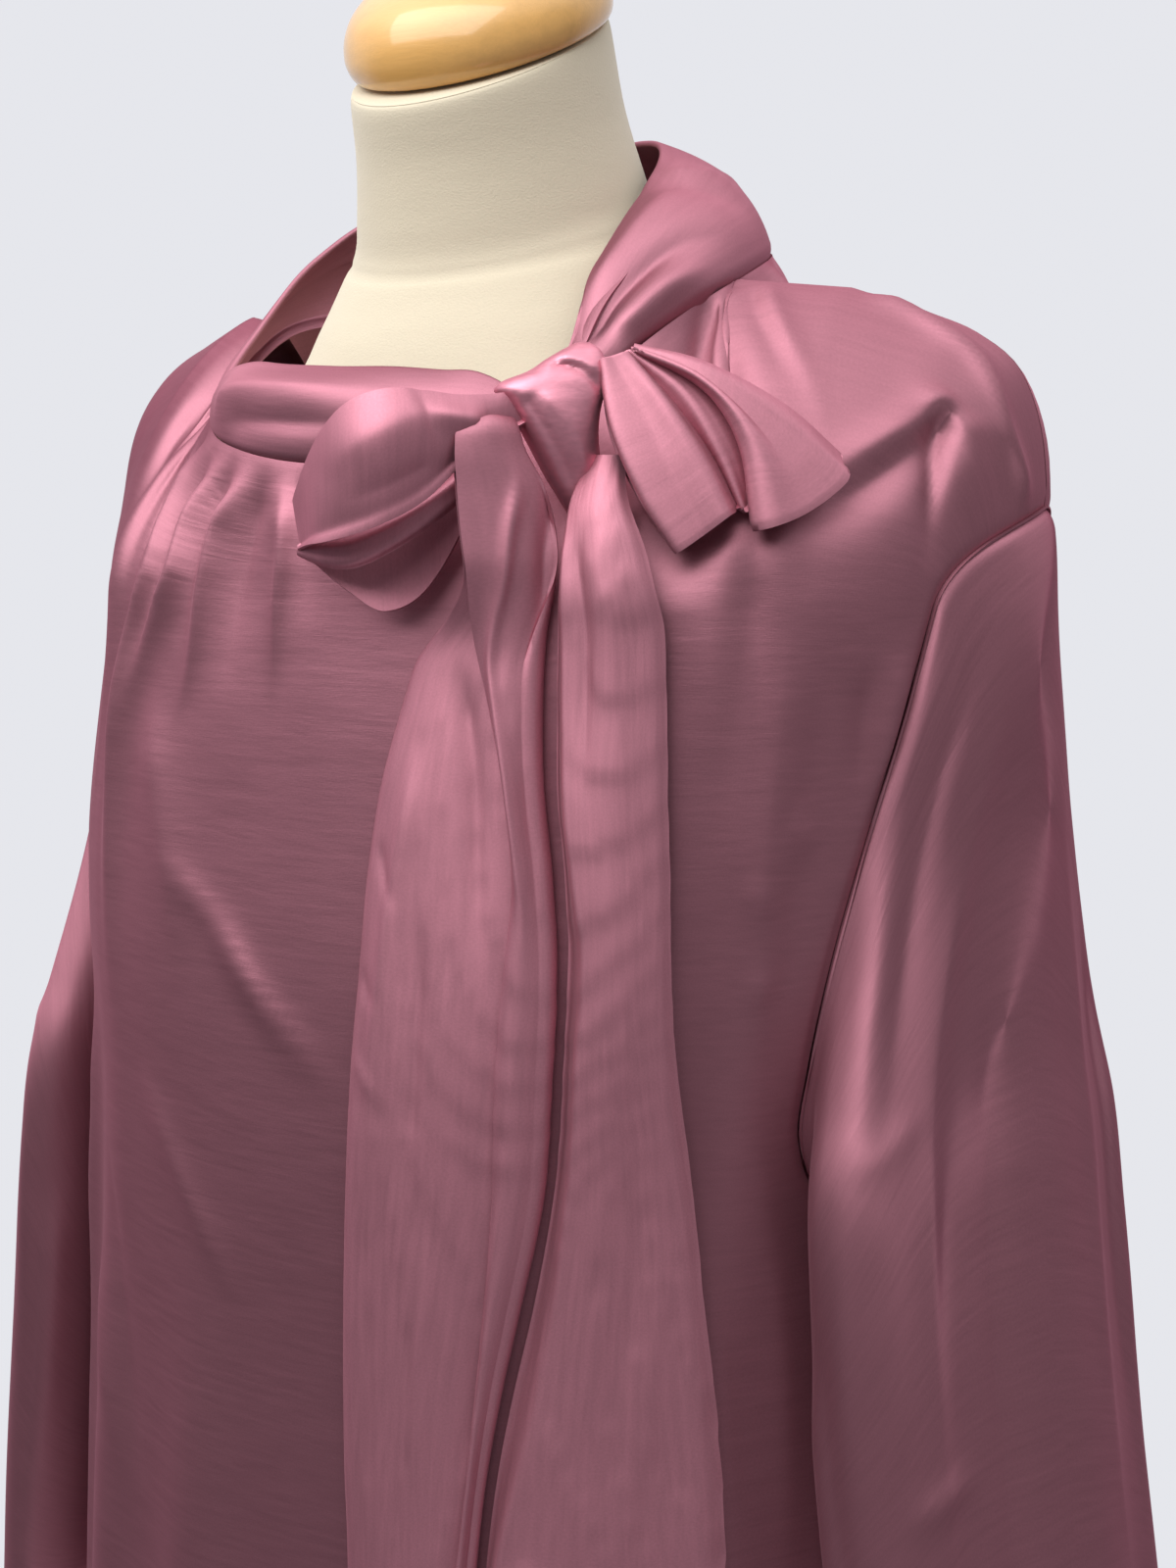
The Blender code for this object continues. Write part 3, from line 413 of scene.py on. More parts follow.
# Edges that turn by more than these angles in degrees stay sharp, on cloth and on round bodies
CLOTH_SHARP = 60
ROUND_SHARP = 50
# Place across a panel, just inside its edge, from which the way off the panel is taken
EDGE_INSIDE = 0.985
# How sleeve rows crowd towards the armhole
SLEEVE_ROW_POWER = 1.5

# Creases, in millimetres. Rows: rise, width, share of the path over which it grows, share over which it
# dies out, then the path as pairs of height and place across in thousandths of half a panel
FRONT_CREASES = (
    (-3.6, 8, 0.35, 0.6, 1374, -551, 1362, -547, 1351, -551, 1335, -530, 1310, -500),
    (4.2, 8.5, 0.2, 0.6, 1362, -440, 1345, -440, 1310, -445, 1250, -470, 1180, -560),
    (-3.6, 7.5, 0.18, 0.7, 1356, -380, 1335, -375, 1300, -385, 1250, -415, 1200, -440),
    (6, 8.5, 0.1, 0.7, 1354, -323, 1336, -307, 1316, -311, 1296, -320, 1271, -355, 1246,
     -371, 1181, -378, 1100, -390),
    (1.4, 3.6, 0.2, 0.6, 1345, -318, 1316, -311, 1296, -320, 1271, -355, 1220, -378, 1139, -385),
    (-3.6, 7, 0.2, 0.7, 1350, -250, 1330, -262, 1305, -278, 1270, -325, 1235, -366),
    (6, 8, 0.25, 0.7, 1347, -186, 1331, -226, 1317, -242, 1294, -255, 1271, -300, 1233, -360, 1200, -378),
    (1.4, 3.6, 0.2, 0.6, 1340, -210, 1317, -242, 1294, -255, 1271, -300, 1233, -360),
    (-4, 8.5, 0.25, 0.85, 1348, -172, 1330, -184, 1312, -196, 1285, -218, 1255, -244),
    (5.8, 7.5, 0.25, 0.7, 1342, -138, 1327, -158, 1317, -172, 1297, -182, 1261, -200, 1233, -230),
    (1.4, 3.6, 0.2, 0.6, 1334, -150, 1317, -172, 1297, -182, 1261, -200, 1225, -236),
    (-4.2, 9, 0.25, 0.85, 1342, -106, 1326, -114, 1308, -120, 1280, -126, 1240, -142),
    (4.6, 7.2, 0.25, 0.6, 1336, -86, 1321, -64, 1305, -54, 1285, -54, 1249, -54),
    (1.4, 3.6, 0.2, 0.6, 1325, -66, 1305, -54, 1285, -54, 1262, -56, 1235, -54),
    (-3.4, 7, 0.25, 0.7, 1340, -58, 1326, -38, 1304, -24, 1270, -20),
    (4, 15, 0.3, 0.6, 1250, -300, 1209, -245, 1170, -205, 1120, -190),
    (4.5, 13, 0.3, 0.6, 1120, -640, 1055, -650, 991, -640, 930, -640),
    (2.2, 6, 0.3, 0.5, 1157, -130, 1119, -10, 1094, 70),
    (1.8, 6, 0.3, 0.5, 1185, -250, 1150, -90, 1110, 0),
    (2, 7, 0.3, 0.5, 1090, -300, 1040, -160, 1000, -50),
    (1.8, 10, 0.3, 0.5, 1010, -520, 940, -400, 890, -300),
    (-2.2, 10, 0.3, 0.5, 1060, -460, 980, -360, 900, -280),
    (-5.2, 6.2, 0.16, 0.7, 1410, 484, 1392, 450, 1374, 420, 1345, 392),
    (4, 6.2, 0.16, 0.7, 1410, 525, 1395, 511, 1380, 490, 1350, 455),
    (3, 5, 0.2, 0.6, 1412, 560, 1400, 590, 1390, 611, 1373, 643, 1350, 670),
    (-2.6, 5.5, 0.2, 0.6, 1410, 545, 1397, 570, 1384, 594, 1365, 620),
    (4.5, 5.5, 0.15, 0.15, 1408, 679, 1397, 756, 1389, 804, 1381, 844, 1367, 888, 1354,
     920, 1338, 960, 1320, 1000),
    (6, 8, 0.15, 0.6, 1367, 850, 1356, 815, 1348, 770, 1339, 699, 1331, 623),
    (-5.5, 8.5, 0.12, 0.6, 1360, 852, 1346, 812, 1334, 750, 1322, 680, 1310, 610),
    (-5, 5, 0.12, 0.6, 1364, 850, 1350, 850, 1335, 868, 1320, 892, 1294, 950),
    (2.2, 9.5, 0.2, 0.6, 1362, 872, 1345, 900, 1330, 935, 1312, 975),
    (-3, 8, 0.3, 0.5, 1270, 840, 1237, 890, 1204, 960),
    (3, 8, 0.3, 0.5, 1275, 920, 1243, 950, 1205, 985),
    (1.8, 16, 0.3, 0.6, 1309, 405, 1282, 440, 1252, 480, 1215, 520),
    (-3.5, 12, 0.2, 0.6, 1310, 480, 1280, 530, 1240, 580, 1190, 620),
    (4, 14, 0.3, 0.5, 1300, 600, 1260, 620, 1187, 680, 1111, 820),
    (-3, 16, 0.3, 0.5, 1290, 700, 1230, 750, 1150, 830, 1090, 880),
    (-3, 16, 0.3, 0.4, 1220, 520, 1120, 580, 1000, 620, 850, 640),
    (2.5, 12, 0.3, 0.5, 1120, 740, 1000, 700, 860, 700),
    (1.6, 5, 0.4, 0.5, 1210, 700, 1204, 760, 1192, 830),
    (1.4, 5, 0.4, 0.5, 1186, 600, 1180, 670, 1170, 730),
    (1.4, 4.5, 0.4, 0.5, 1148, 660, 1146, 730, 1138, 800),
)
BACK_CREASES = (
    (3.5, 8, 0.1, 0.6, 1405, -330, 1360, -360, 1300, -420, 1220, -460),
    (-3.5, 7, 0.1, 0.6, 1408, -220, 1350, -230, 1280, -270),
    (3, 7, 0.1, 0.6, 1412, -80, 1340, -100, 1250, -120, 1170, -100),
    (-3.5, 8, 0.1, 0.6, 1410, 30, 1350, 20, 1270, 30, 1180, 60),
    (3.5, 8, 0.1, 0.6, 1410, 140, 1350, 160, 1260, 200),
    (-3, 7, 0.1, 0.6, 1408, 260, 1350, 290, 1290, 340, 1210, 380),
    (3, 9, 0.2, 0.6, 1330, 520, 1270, 580, 1190, 660),
    (-3, 10, 0.3, 0.5, 1340, -620, 1280, -700, 1210, -800),
    (3, 10, 0.3, 0.5, 1300, -820, 1240, -880, 1170, -950),
    (3, 10, 0.3, 0.5, 1310, 800, 1240, 860, 1160, 940),
    (2.4, 14, 0.3, 0.5, 1120, -500, 1020, -220, 950, -20),
    (2, 12, 0.3, 0.5, 1090, 460, 1010, 300, 960, 120),
    (-2.4, 12, 0.3, 0.5, 1150, 220, 1060, 120, 960, 150),
)
# The sleeves' creases, with the place round as degrees from the outer side towards the front
SLEEVE_CREASES = (
    (3, 9, 0.25, 0.5, 1270, 24, 1180, 30, 1080, 36, 960, 38, 820, 40),
    (-3.5, 9, 0.25, 0.5, 1290, 48, 1220, 52, 1140, 58, 1060, 60),
    (3, 8, 0.25, 0.5, 1200, 72, 1120, 76, 1020, 80, 900, 78),
    (-3, 8, 0.25, 0.5, 1060, 92, 980, 96, 880, 92, 790, 90),
    (2.8, 8, 0.25, 0.5, 1010, 112, 930, 108, 840, 106),
    (-2.5, 9, 0.3, 0.5, 1180, 8, 1050, 12, 920, 14, 800, 16),
    (2.8, 9, 0.3, 0.5, 1240, -22, 1120, -26, 980, -24, 840, -30),
    (-3.5, 9, 0.3, 0.5, 1200, -48, 1100, -52, 980, -50, 860, -54),
    (3.2, 9, 0.3, 0.5, 1140, -78, 1040, -84, 920, -82),
    (-2.8, 8, 0.3, 0.5, 1060, -112, 960, -116, 850, -112),
    (2.2, 7, 0.4, 0.5, 1100, 40, 1085, 60, 1078, 82),
    (1.8, 6, 0.4, 0.5, 960, 20, 950, 45, 945, 66),
)
# The collar's creases, with degrees round the neck and percent up from the neckline
COLLAR_CREASES = (
    (-5.8, 7.2, 0.2, 0.6, 48, 62, 58, 56, 68, 50, 80, 38, 94, 20),
    (4, 9.5, 0.25, 0.6, 52, 92, 66, 86, 86, 80, 110, 68),
    (3.5, 6, 0.2, 0.5, 55, 30, 68, 26, 82, 16),
    (-2.2, 9, 0.3, 0.5, 86, 98, 94, 74, 102, 48, 110, 22),
    (2.2, 9, 0.3, 0.5, 98, 96, 107, 74, 116, 50),
    (2.5, 5, 0.3, 0.5, 120, 45, 145, 55, 170, 50),
    (-2, 4.5, 0.3, 0.5, 140, 30, 170, 35, 205, 40),
    (2, 4.5, 0.3, 0.5, 190, 65, 225, 60, 255, 55),
    (2.6, 7, 0.15, 0.5, 314, 45, 330, 66, 350, 70, 374, 66),
    (-2.6, 7, 0.2, 0.5, 322, 25, 342, 34, 360, 36, 376, 40),
)
# How far the collar's inner layer turns down inside, and the half thickness of its fold
COLLAR_INSIDE = 0.34
COLLAR_FOLD = 0.0014
# How fast its creases, and then its thickness, come up from its seam
COLLAR_CREASE_START = 14
COLLAR_FOLD_START = 20
# Its edge tucked under the panels. Rows: share up from the neckline, depth in
COLLAR_TUCK = ((-0.02, 0.0006), (-0.12, 0.0022))

# Upward slope of the cloth's normals along the neckline
NECK_SLOPE = 0.55
# Seams dip by this depth over this width, and hems stand out by a step
SEAM_DIP = 0.0016
SEAM_WIDTH = 0.0030
HEM_DEPTH = 0.016
HEM_STEP = 0.0006
HEM_SOFTNESS = 0.002
# Creases die out near a panel's sides, in shares of its half width, and near a sleeve's armhole
PANEL_SIDE_FADE = 0.02
SLEEVE_TOP_FADE = 0.02
# How squarely a crease falls off to its sides
CREASE_POWER = 1.6

# The tail under the bow, folded over itself. Rows: height, left edge of the broad layer, left edge of
# the strip folded over it, their right edge, lift of the broad layer, rise of its middle, lift of the strip
TAIL_RIGHT_FOLDS = metres(
    (800, 40, 78, 83, 3.5, 5, 7),
    (860, 37, 80, 84.5, 3.5, 5.5, 7),
    (924, 35, 83.5, 87.5, 3, 6, 7),
    (960, 32.5, 86.5, 90.5, 3, 6, 7),
    (993, 30.9, 88.3, 95.2, 2.5, 6.5, 7.5),
    (1023, 30, 90.8, 100.5, 2, 7, 7.5),
    (1066, 29.7, 93, 107.8, 1.5, 7.5, 7.5),
    (1111, 30, 93.5, 110.5, 1.5, 8, 8),
    (1149, 31.1, 95, 111, 1, 8, 8),
    (1187, 31.6, 96.3, 107.3, 1, 7.5, 8.5),
    (1218, 34.5, 92, 102.3, 1, 7, 9),
    (1250, 41.5, 83.7, 99.3, 1, 6, 9.5),
    (1283, 50, 72.2, 98.2, 1.5, 4, 9.5),
    (1304, 56.5, 65, 98.5, 2, 2, 9),
    (1334, 62, 60, 85, 3, 0, 8),
    (1359, 66, 62, 76, 3.5, 0, 7),
)
# The other tail. Rows: height, inner edge, ridge between its dark flank and its face, outer edge,
# lift of the inner edge, of the ridge, of the outer edge
TAIL_LEFT_FOLDS = metres(
    (790, 90, 96, 178, 2, 8, 6),
    (860, 90, 96.5, 174, 2, 9, 7),
    (924, 90.5, 98.5, 170.2, 2, 10, 8),
    (964, 94, 107.3, 167.5, 1.5, 10.5, 8),
    (994, 98.5, 114.3, 164.9, 1, 11, 8.5),
    (1023, 104, 117, 161.5, 1, 11, 8.5),
    (1066, 110, 121, 157, 0.5, 11, 8.5),
    (1115, 113, 123.8, 152, 0.5, 11.5, 8.5),
    (1165, 113, 124.6, 149, 0.5, 12, 8.5),
    (1187, 110.5, 120.1, 148, 0.5, 12, 8.5),
    (1217, 106, 115, 146, 0.5, 11.5, 8.5),
    (1253, 103.5, 111, 143.5, 1, 10, 8),
    (1290, 102, 108.5, 140, 3, 12.5, 11),
    (1312, 102, 107, 133, 6, 16.5, 16),
    (1328, 103, 106.2, 125, 10, 20, 20),
    (1337, 105, 107.5, 121.5, 13, 21, 21),
    (1343, 108, 109.5, 119, 13, 21.5, 21.5),
)
# Top of the first tail, over the loop and under the knot, laid out in the bow's plane.
# Rows: height over the knot's middle, left edge, right edge, distance out of each
TAIL_RIGHT_TOP = metres(
    (-100, -31, -8, 15, 17),
    (-84, -32.8, -6.2, 17, 18),
    (-65, -35.2, -3.6, 17, 16),
    (-40, -38.5, -3.6, 17, 14),
    (-25, -39.6, -7.8, 17, 13),
    (-10.7, -40.2, -15, 17, 12.5),
    (-5, -39.4, -16.5, 16.2, 12),
    (-1.5, -37.2, -17.8, 14, 10.5),
    (0.6, -33.5, -19.5, 10, 7.5),
    (1.5, -30, -21.5, 4, 3),
)
# Heights over which that top gives way to the part that lies on the front
TAIL_TOP_START = 1.262
TAIL_TOP_LENGTH = 0.045
TAIL_TOP_DOME = 0.003
TAIL_TOP_DEPTH = 0.006
# How flat the broad layer's middle is, how far the strip domes, and how far its free edge stands off
TAIL_BROAD_POWER = 0.8
STRIP_DOME = 0.0030
STRIP_LIFT = 0.0012
# The other tail's face: its dome, and how far its outer edge rolls in over a share of its width
FACE_DOME = 0.0025
FACE_ROLL = 0.0022
FACE_ROLL_SHARE = 0.05
# Creases of the tails, with the path as pairs of height and place across from the middle, in millimetres
TAIL_RIGHT_CREASES = (
    (-3, 5, 0.2, 0.6, 1270, 66, 1235, 74, 1190, 80, 1140, 82),
    (2.5, 6, 0.2, 0.6, 1240, 55, 1190, 49, 1130, 44, 1060, 42),
    (-1.8, 4.5, 0.3, 0.5, 1180, 60, 1120, 62, 1050, 58),
    (1.2, 4, 0.3, 0.5, 1060, 70, 990, 66, 920, 64),
    (-1.2, 3, 0.3, 0.5, 1200, 37.5, 1184, 44, 1172, 52),
    (-1, 3, 0.3, 0.5, 1150, 33, 1140, 40, 1136, 47),
    (1, 3, 0.3, 0.5, 1118, 32, 1108, 40, 1100, 50),
)
STRIP_CREASES = (
    (2.4, 2, 0.1, 0.4, 1340, 76, 1318, 76.5, 1272, 83, 1218, 94.5, 1177, 101.5, 1146, 104),
    (-2.2, 3, 0.15, 0.5, 1345, 86, 1320, 88, 1288, 93, 1255, 95),
)
TAIL_LEFT_CREASES = (
    (-2.2, 4, 0.2, 0.6, 1322, 109, 1290, 116, 1245, 119, 1190, 125),
    (1, 6, 0.2, 0.6, 1316, 118, 1280, 127, 1220, 133, 1150, 134),
    (-1.4, 6, 0.3, 0.5, 1150, 142, 1050, 140, 940, 135),
    (1.2, 5, 0.3, 0.5, 1060, 150, 980, 145, 880, 130),
)
# Shares of the first tail's cloth where its broad layer ends, and where the turn into the strip ends
TAIL_BROAD_END = 0.58
TAIL_TURN_END = 0.65

# Creases of the bow's pieces, with the path as pairs of places across and up in the bow's plane
LOOP_RIGHT_CREASES = (
    (-4, 4.2, 0.3, 0.6, -26, -2, -35, -2, -45, 0, -56, 2),
    (-2.2, 9, 0.1, 0.5, -50, 1, -62, -4, -76, -12, -88, -24),
    (1, 4, 0.2, 0.5, -46, -16, -62, -24, -82, -32),
)
# The pleat that shows in the right loop's mouth. Rows: share along it, across, upper edge, lower edge, lift
LOOP_PLEAT = metres(
    (0, -28, -13, -22, 5),
    (0.2, -42, -23, -35, 10),
    (0.45, -60, -33, -47.5, 14),
    (0.7, -78, -41, -55.5, 14),
    (0.88, -90, -45, -54.5, 10),
    (1, -99, -48, -51, 6),
    plain=(0,),
)
# How deep its hidden upper part lies, as far down as this share, and the roll of its lower edge
LOOP_PLEAT_DEPTH = 0.016
LOOP_PLEAT_HIDDEN = 0.45
PLEAT_ROLL = 0.0030
PLEAT_ROLL_SHARE = 0.10
# The left loop's three pleats. Rows: share of its width, then across and up at its root, at a third and at
# two thirds of its length and at its end, and its lift there
LOOP_LEFT_PLEATS = metres(
    (0, 27.4, 25.4, 52, 19, 80.6, 4, 102.7, -14.6, 5),
    (0.06, 27.3, 25.3, 51.8, 18, 80.3, 1, 102.5, -18, 8.5),
    (0.2, 27.2, 25, 51, 16, 79, -5, 101.2, -24.3, 10.5),
    (0.32, 27.6, 24.6, 50.5, 13.5, 74, -10, 86, -34.6, 10.5),
    (0.43, 28.4, 24.1, 50.8, 12, 64.5, -8.5, 69, -40.5, 11),
    (0.45, 28.6, 24, 50.6, 11.5, 63.3, -9.5, 67.2, -40.8, 8.5),
    (0.48, 28.4, 23.6, 52.5, 10, 66, -9, 71, -36, 2),
    (0.54, 27.2, 23.5, 47.5, 9, 60, -11, 67, -34.5, 4),
    (0.6, 26.2, 23.3, 44, 8, 56, -13, 65, -35, 5),
    (0.655, 24.6, 23, 39.5, 5.5, 53.5, -14.5, 63, -33.5, 2),
    (0.68, 24.4, 22.9, 37.5, 5.6, 50.5, -15, 60, -34.5, 10.5),
    (0.7, 24.2, 22.8, 36.8, 5.4, 49.5, -15.5, 58.8, -35, 12.5),
    (0.85, 19, 21, 30, -1, 39, -23, 49, -42, 13),
    (0.97, 15, 20, 18, -5.5, 27.1, -29.5, 38.8, -48.8, 11.5),
    (1, 15, 19.6, 18.2, -5.6, 27.8, -29.3, 39.2, -48.5, 8),
    plain=(0,),
)
# Shares of its length at which the left loop's places across and up are given
LOOP_LEFT_SHARES = (0.0, 0.33, 0.66, 1.0)
# How the left loop's height grows along it, its arch, and its depth to the layer behind
LOOP_LIFT_POWER = 1.4
LOOP_ARCH = 0.005
LOOP_DEPTH = 0.006
# Shares of the mean lift and of the pleats that its root has, and how much flatter the layer behind is
LOOP_LIFT_ROOT = 0.4
LOOP_PLEAT_ROOT = 0.35
LOOP_BEHIND_FLATTER = 0.7
# How squarely the knot's wrap turns at its sides
KNOT_SQUARE = 0.72
KNOT_CREASES = (
    (-1.6, 3, 0.1, 0.3, -15, 8, -6, -6, 1, -18, 6, -30),
    (1.2, 3, 0.2, 0.3, -9, 11, 1, -1, 7, -14, 10, -26),
    (-2, 1.8, 0.1, 0.3, -4, 19, 6, 17, 13, 11, 16, 6),
    (1.4, 2.2, 0.1, 0.3, -1, 21.5, 8, 20, 15, 15),
)

# Seam round the base of the form's neck, and the hem of its cover under the cap: share of the rings,
# share of the radius, and the share of the rings that it takes
FORM_SEAM = (0.778, 0.012, 0.006)
FORM_HEM = (0.985, 0.010, 0.004)

# How much the panels' satin is brushed, and how much lighter the ties and the knot are painted than the
# panels: a painted sheen in place of the gleam that they catch from the light above
SATIN_BRUSHED = 0.6
TIE_PAINTED_SHEEN = 1.25
KNOT_PAINTED_SHEEN = 1.70

# Side on which the surroundings are bright, the cosines over which they brighten, and their colour there
SKY_BRIGHT_SIDE = (-0.45, 0.70, 0.55)
SKY_SPREAD = (-0.05, 0.45)
SKY_BRIGHT = (0.790, 0.797, 0.840)
# The dim side's two colours, the way to its brighter end, and the cosines over which that is reached
SKY_DIM = (0.050, 0.050, 0.055)
SKY_HALF_DIM = (0.280, 0.285, 0.290)
SKY_HALF_SIDE = (0.90, -0.44, 0.0)
SKY_HALF_SPREAD = (-0.35, 0.95)
# The ceiling: sines of the rise over which it brightens, and its colour
CEILING_SPREAD = (0.35, 0.85)
CEILING_BRIGHT = (1.70, 1.69, 1.69)
# Radii between which the floor fades out
FLOOR_FADE = (0.35, 1.20)
# Where the camera looks, how far it stands, its angles in degrees, its lens and the width of its film
CAMERA_TARGET = (0.041, 0.0, 1.203)
CAMERA_DISTANCE = 0.95
CAMERA_AZIMUTH = 32.0
CAMERA_RISE = 8.0
CAMERA_LENS = 50.15
CAMERA_FILM = 36.0
# Lights. Rows: name, place, point that it shines at, width and height, colour
LIGHTS = (
    ("key", (-0.22, -1.18, 2.45), (0.03, -0.05, 1.2), (2.2, 1.3), (1.0, 0.99, 0.98)),
    ("fill", (-1.3, -1.3, 1.6), (0.0, 0.0, 1.2), (1.6, 1.6), (0.97, 0.98, 1.0)),
)


def smooth_way(start, leave, end, arrive, share):
    """A smooth way between two values, with the rates at which it leaves and arrives."""
    rest = 1 - share
    return (
        start * rest**2 * (1 + 2 * share)
        + leave * share * rest**2
        + end * share**2 * (3 - 2 * share)
        - arrive * share**2 * rest
    )


def read_rows(rows, at):
    """A smooth curve through each column of a table, read at values of its first column."""
    table = np.asarray(rows, float)
    keys, values = table[:, 0], table[:, 1:]
    slopes = np.gradient(values, keys, axis=0)
    at = np.clip(np.asarray(at, float), keys[0], keys[-1])
    low = np.clip(np.searchsorted(keys, at) - 1, 0, len(keys) - 2)
    step = keys[low + 1] - keys[low]
    part = ((at - keys[low]) / step)[..., None]
    step = step[..., None]
    return smooth_way(
        values[low], slopes[low] * step, values[low + 1], slopes[low + 1] * step, part
    )


def read_columns(rows, at):
    """The same, as one array for each column after the first."""
    return np.moveaxis(read_rows(rows, at), -1, 0)


def points(x, y, z):
    """Points from their three places."""
    return np.stack(np.broadcast_arrays(x, y, z), axis=-1)


def unit(ways):
    """Ways made one metre long."""
    return ways / np.maximum(np.linalg.norm(ways, axis=-1)[..., None], 1e-9)


def ease(value):
    """0 up to 0, 1 from 1 on, and a soft step between."""
    value = np.clip(value, 0, 1)
    return value * value * (3 - 2 * value)


def bell(value):
    """1 at 0, falling off softly to both sides."""
    return np.exp(-(value**2))


def swell(value, power):
    """A cosine or sine made squarer, or sharper, by a power."""
    return np.sign(value) * np.abs(value) ** power


def round_turn(sides):
    """Angles all the way round, in radians."""
    return np.arange(sides) * 2 * math.pi / sides


def neckline(angle):
    """The line where the collar is sewn on, at angles in degrees."""
    radius, height = read_columns(NECKLINE, angle)
    turn = np.radians(angle)
    return points(radius * np.sin(turn), -radius * np.cos(turn), height)


def narrower(side, height):
    """How far the wearer's right side is drawn in at a height."""
    share = (height - NARROWER_START) / (CHEST_HEIGHT - NARROWER_START)
    return RIGHT_NARROWER * (np.asarray(side) < 0) * ease(share)


def top_edge(across, facing):
    """Top edge of a panel: the shoulder seam, the neckline and the other shoulder seam."""
    side = np.where(across < 0, -1.0, 1.0)
    share = np.abs(across) / NECKLINE_SHARE
    angle = side * np.clip(share, 0, 1) * 90
    if facing < 0:
        angle = np.where(side < 0, -180 - angle, 180 - angle)
    neck = neckline(angle)
    corner = neckline(side * 90.0)
    along = np.clip((np.abs(across) - NECKLINE_SHARE) / (1 - NECKLINE_SHARE), 0, 1)
    out, depth, height = read_columns(SHOULDER, along)
    first = SHOULDER[0]
    start = points(side * first[1], first[2], first[3])
    near = corner + (start - corner) * (along / first[0])[..., None]
    far = points(side * out, depth, height)
    seam = np.where((along < first[0])[..., None], near, far)
    seam = np.where((share <= 1)[..., None], neck, seam)
    room = points(0.0, -facing * SEAM_ROOM * ease((share - SEAM_START) / (1 - SEAM_START)), 0.0)
    return seam + room


def body_ring(angle, height, facing):
    """A point of the body at an angle from the middle of the panel, in degrees."""
    half_width, side_depth, front, back, square = read_columns(BODY, height)
    depth = front if facing > 0 else back
    turn = np.radians(angle)
    power = 2 / square
    x = (half_width - narrower(turn, height)) * swell(np.sin(turn), power)
    y = side_depth - facing * depth * np.abs(np.cos(turn)) ** power
    return points(x, y, height)


def ring_angle(across, height, facing):
    """Angle of a column. The middle half keeps its own, and the rest closes up to the armhole."""
    front, back = read_columns(ARMHOLE, height)
    edge = np.where(height < UNDERARM_HEIGHT, 90.0, front if facing > 0 else back)
    outer = (np.abs(across) - 0.5) / 0.5
    angle = np.where(outer < 0, 90 * np.abs(across), 45 + (edge - 45) * outer)
    return np.sign(across) * angle


def body_point(across, down, facing):
    """A point of a panel. Down runs 0 to 1 over the yoke, then 1 to 2 from the chest to the hem."""
    across = across * (1 - SEAM_ROOM / HALF_ACROSS)
    lower = np.clip(down - 1, 0, 1)
    height = CHEST_HEIGHT + (HEM_HEIGHT - CHEST_HEIGHT) * lower
    drop = body_ring(ring_angle(across, height, facing), height, facing)
    level = CHEST_HEIGHT + 0 * across
    chest = body_ring(ring_angle(across, level, facing), level, facing)
    under = level - CHEST_STEP
    below = body_ring(ring_angle(across, under, facing), under, facing)
    top = top_edge(across, facing)
    yoke = np.clip(down, 0, 1)[..., None]
    length = np.linalg.norm(top - chest, axis=-1)[..., None]
    on_neck = (1 - ease((np.abs(across) - NECK_WAY_END) / NECK_WAY_FADE))[..., None]
    leave_neck = LEAVE_NECK[0] * unit(top * (1, 1, 0)) - (0, 0, LEAVE_NECK[1])
    leave_shoulder = points(0.0 * across, -facing * LEAVE_SHOULDER[0], -LEAVE_SHOULDER[1])
    leave = leave_neck * on_neck + leave_shoulder * (1 - on_neck)
    shoulder = smooth_way(top, leave * length, chest, unit(below - chest) * length, yoke)
    return np.where((down < 1)[..., None], shoulder, drop)


def gather_rise(across, below_top, gathers):
    """Gathers that start at the neckline and die out down the panel."""
    rise = 0
    for place, width, height, length in gathers:
        ridge = bell((across - place) / (width * (1 + GATHER_WIDENING * below_top)))
        start = 1 - np.exp(-below_top / GATHER_START)
        rise = rise + height * ridge * start * np.exp(-((below_top / length) ** GATHER_FADE))
    return rise


def hang_rise(place, height, hangs):
    """Long soft folds that deepen towards the hem."""
    rise = 0
    for middle, width, size, start in hangs:
        rise = rise + size * bell((place - middle) / width) * ease((start - height) / HANG_LENGTH)
    return rise


def grid_normals(grid, closed=False):
    """Normals of a grid of points, which closes on itself along its rows or not."""
    if closed:
        along = np.roll(grid, -1, axis=1) - np.roll(grid, 1, axis=1)
    else:
        along = np.gradient(grid, axis=1)
    return unit(np.cross(np.gradient(grid, axis=0), along))


def spread(parts):
    """Places of a panel's columns from its table."""
    runs = [np.linspace(start, end, count, endpoint=False) for start, end, count in parts]
    return np.concatenate([*runs, [parts[-1][1]]])


def panel_grid(facing, columns, rows_down):
    """The folded middle surface of the front or the back, rows from the top edge to the hem."""
    across, down = np.meshgrid(columns, rows_down)
    flat = body_point(across, down, facing)
    below_top = np.linalg.norm(flat - flat[0][None, :, :], axis=-1)
    gathers, hangs = (FRONT_GATHERS, FRONT_HANGS) if facing > 0 else (BACK_GATHERS, BACK_HANGS)
    place = ring_angle(across, flat[..., 2], facing) / 90
    rise = gather_rise(across, below_top, gathers) + hang_rise(place, flat[..., 2], hangs)
    rise = rise * ease((1 - np.abs(across)) / SIDE_FADE)
    normal = grid_normals(flat) * facing
    return flat + normal * rise[..., None]


def neck_normals(edge):
    """Normals that the panels and the collar share along the neckline."""
    return (unit(edge * (1, 1, 0)) + (0, 0, NECK_SLOPE)) / math.hypot(1, NECK_SLOPE)


def share_of_length(line):
    """Each point's share of the way along a line."""
    steps = np.linalg.norm(np.diff(line, axis=0), axis=1)
    return np.concatenate([[0], np.cumsum(steps)]) / steps.sum()


def smooth_line(path, count=28):
    """A smooth line of points through a few points."""
    path = np.asarray(path, float)
    return read_rows(np.column_stack([share_of_length(path), path]), np.linspace(0, 1, count))


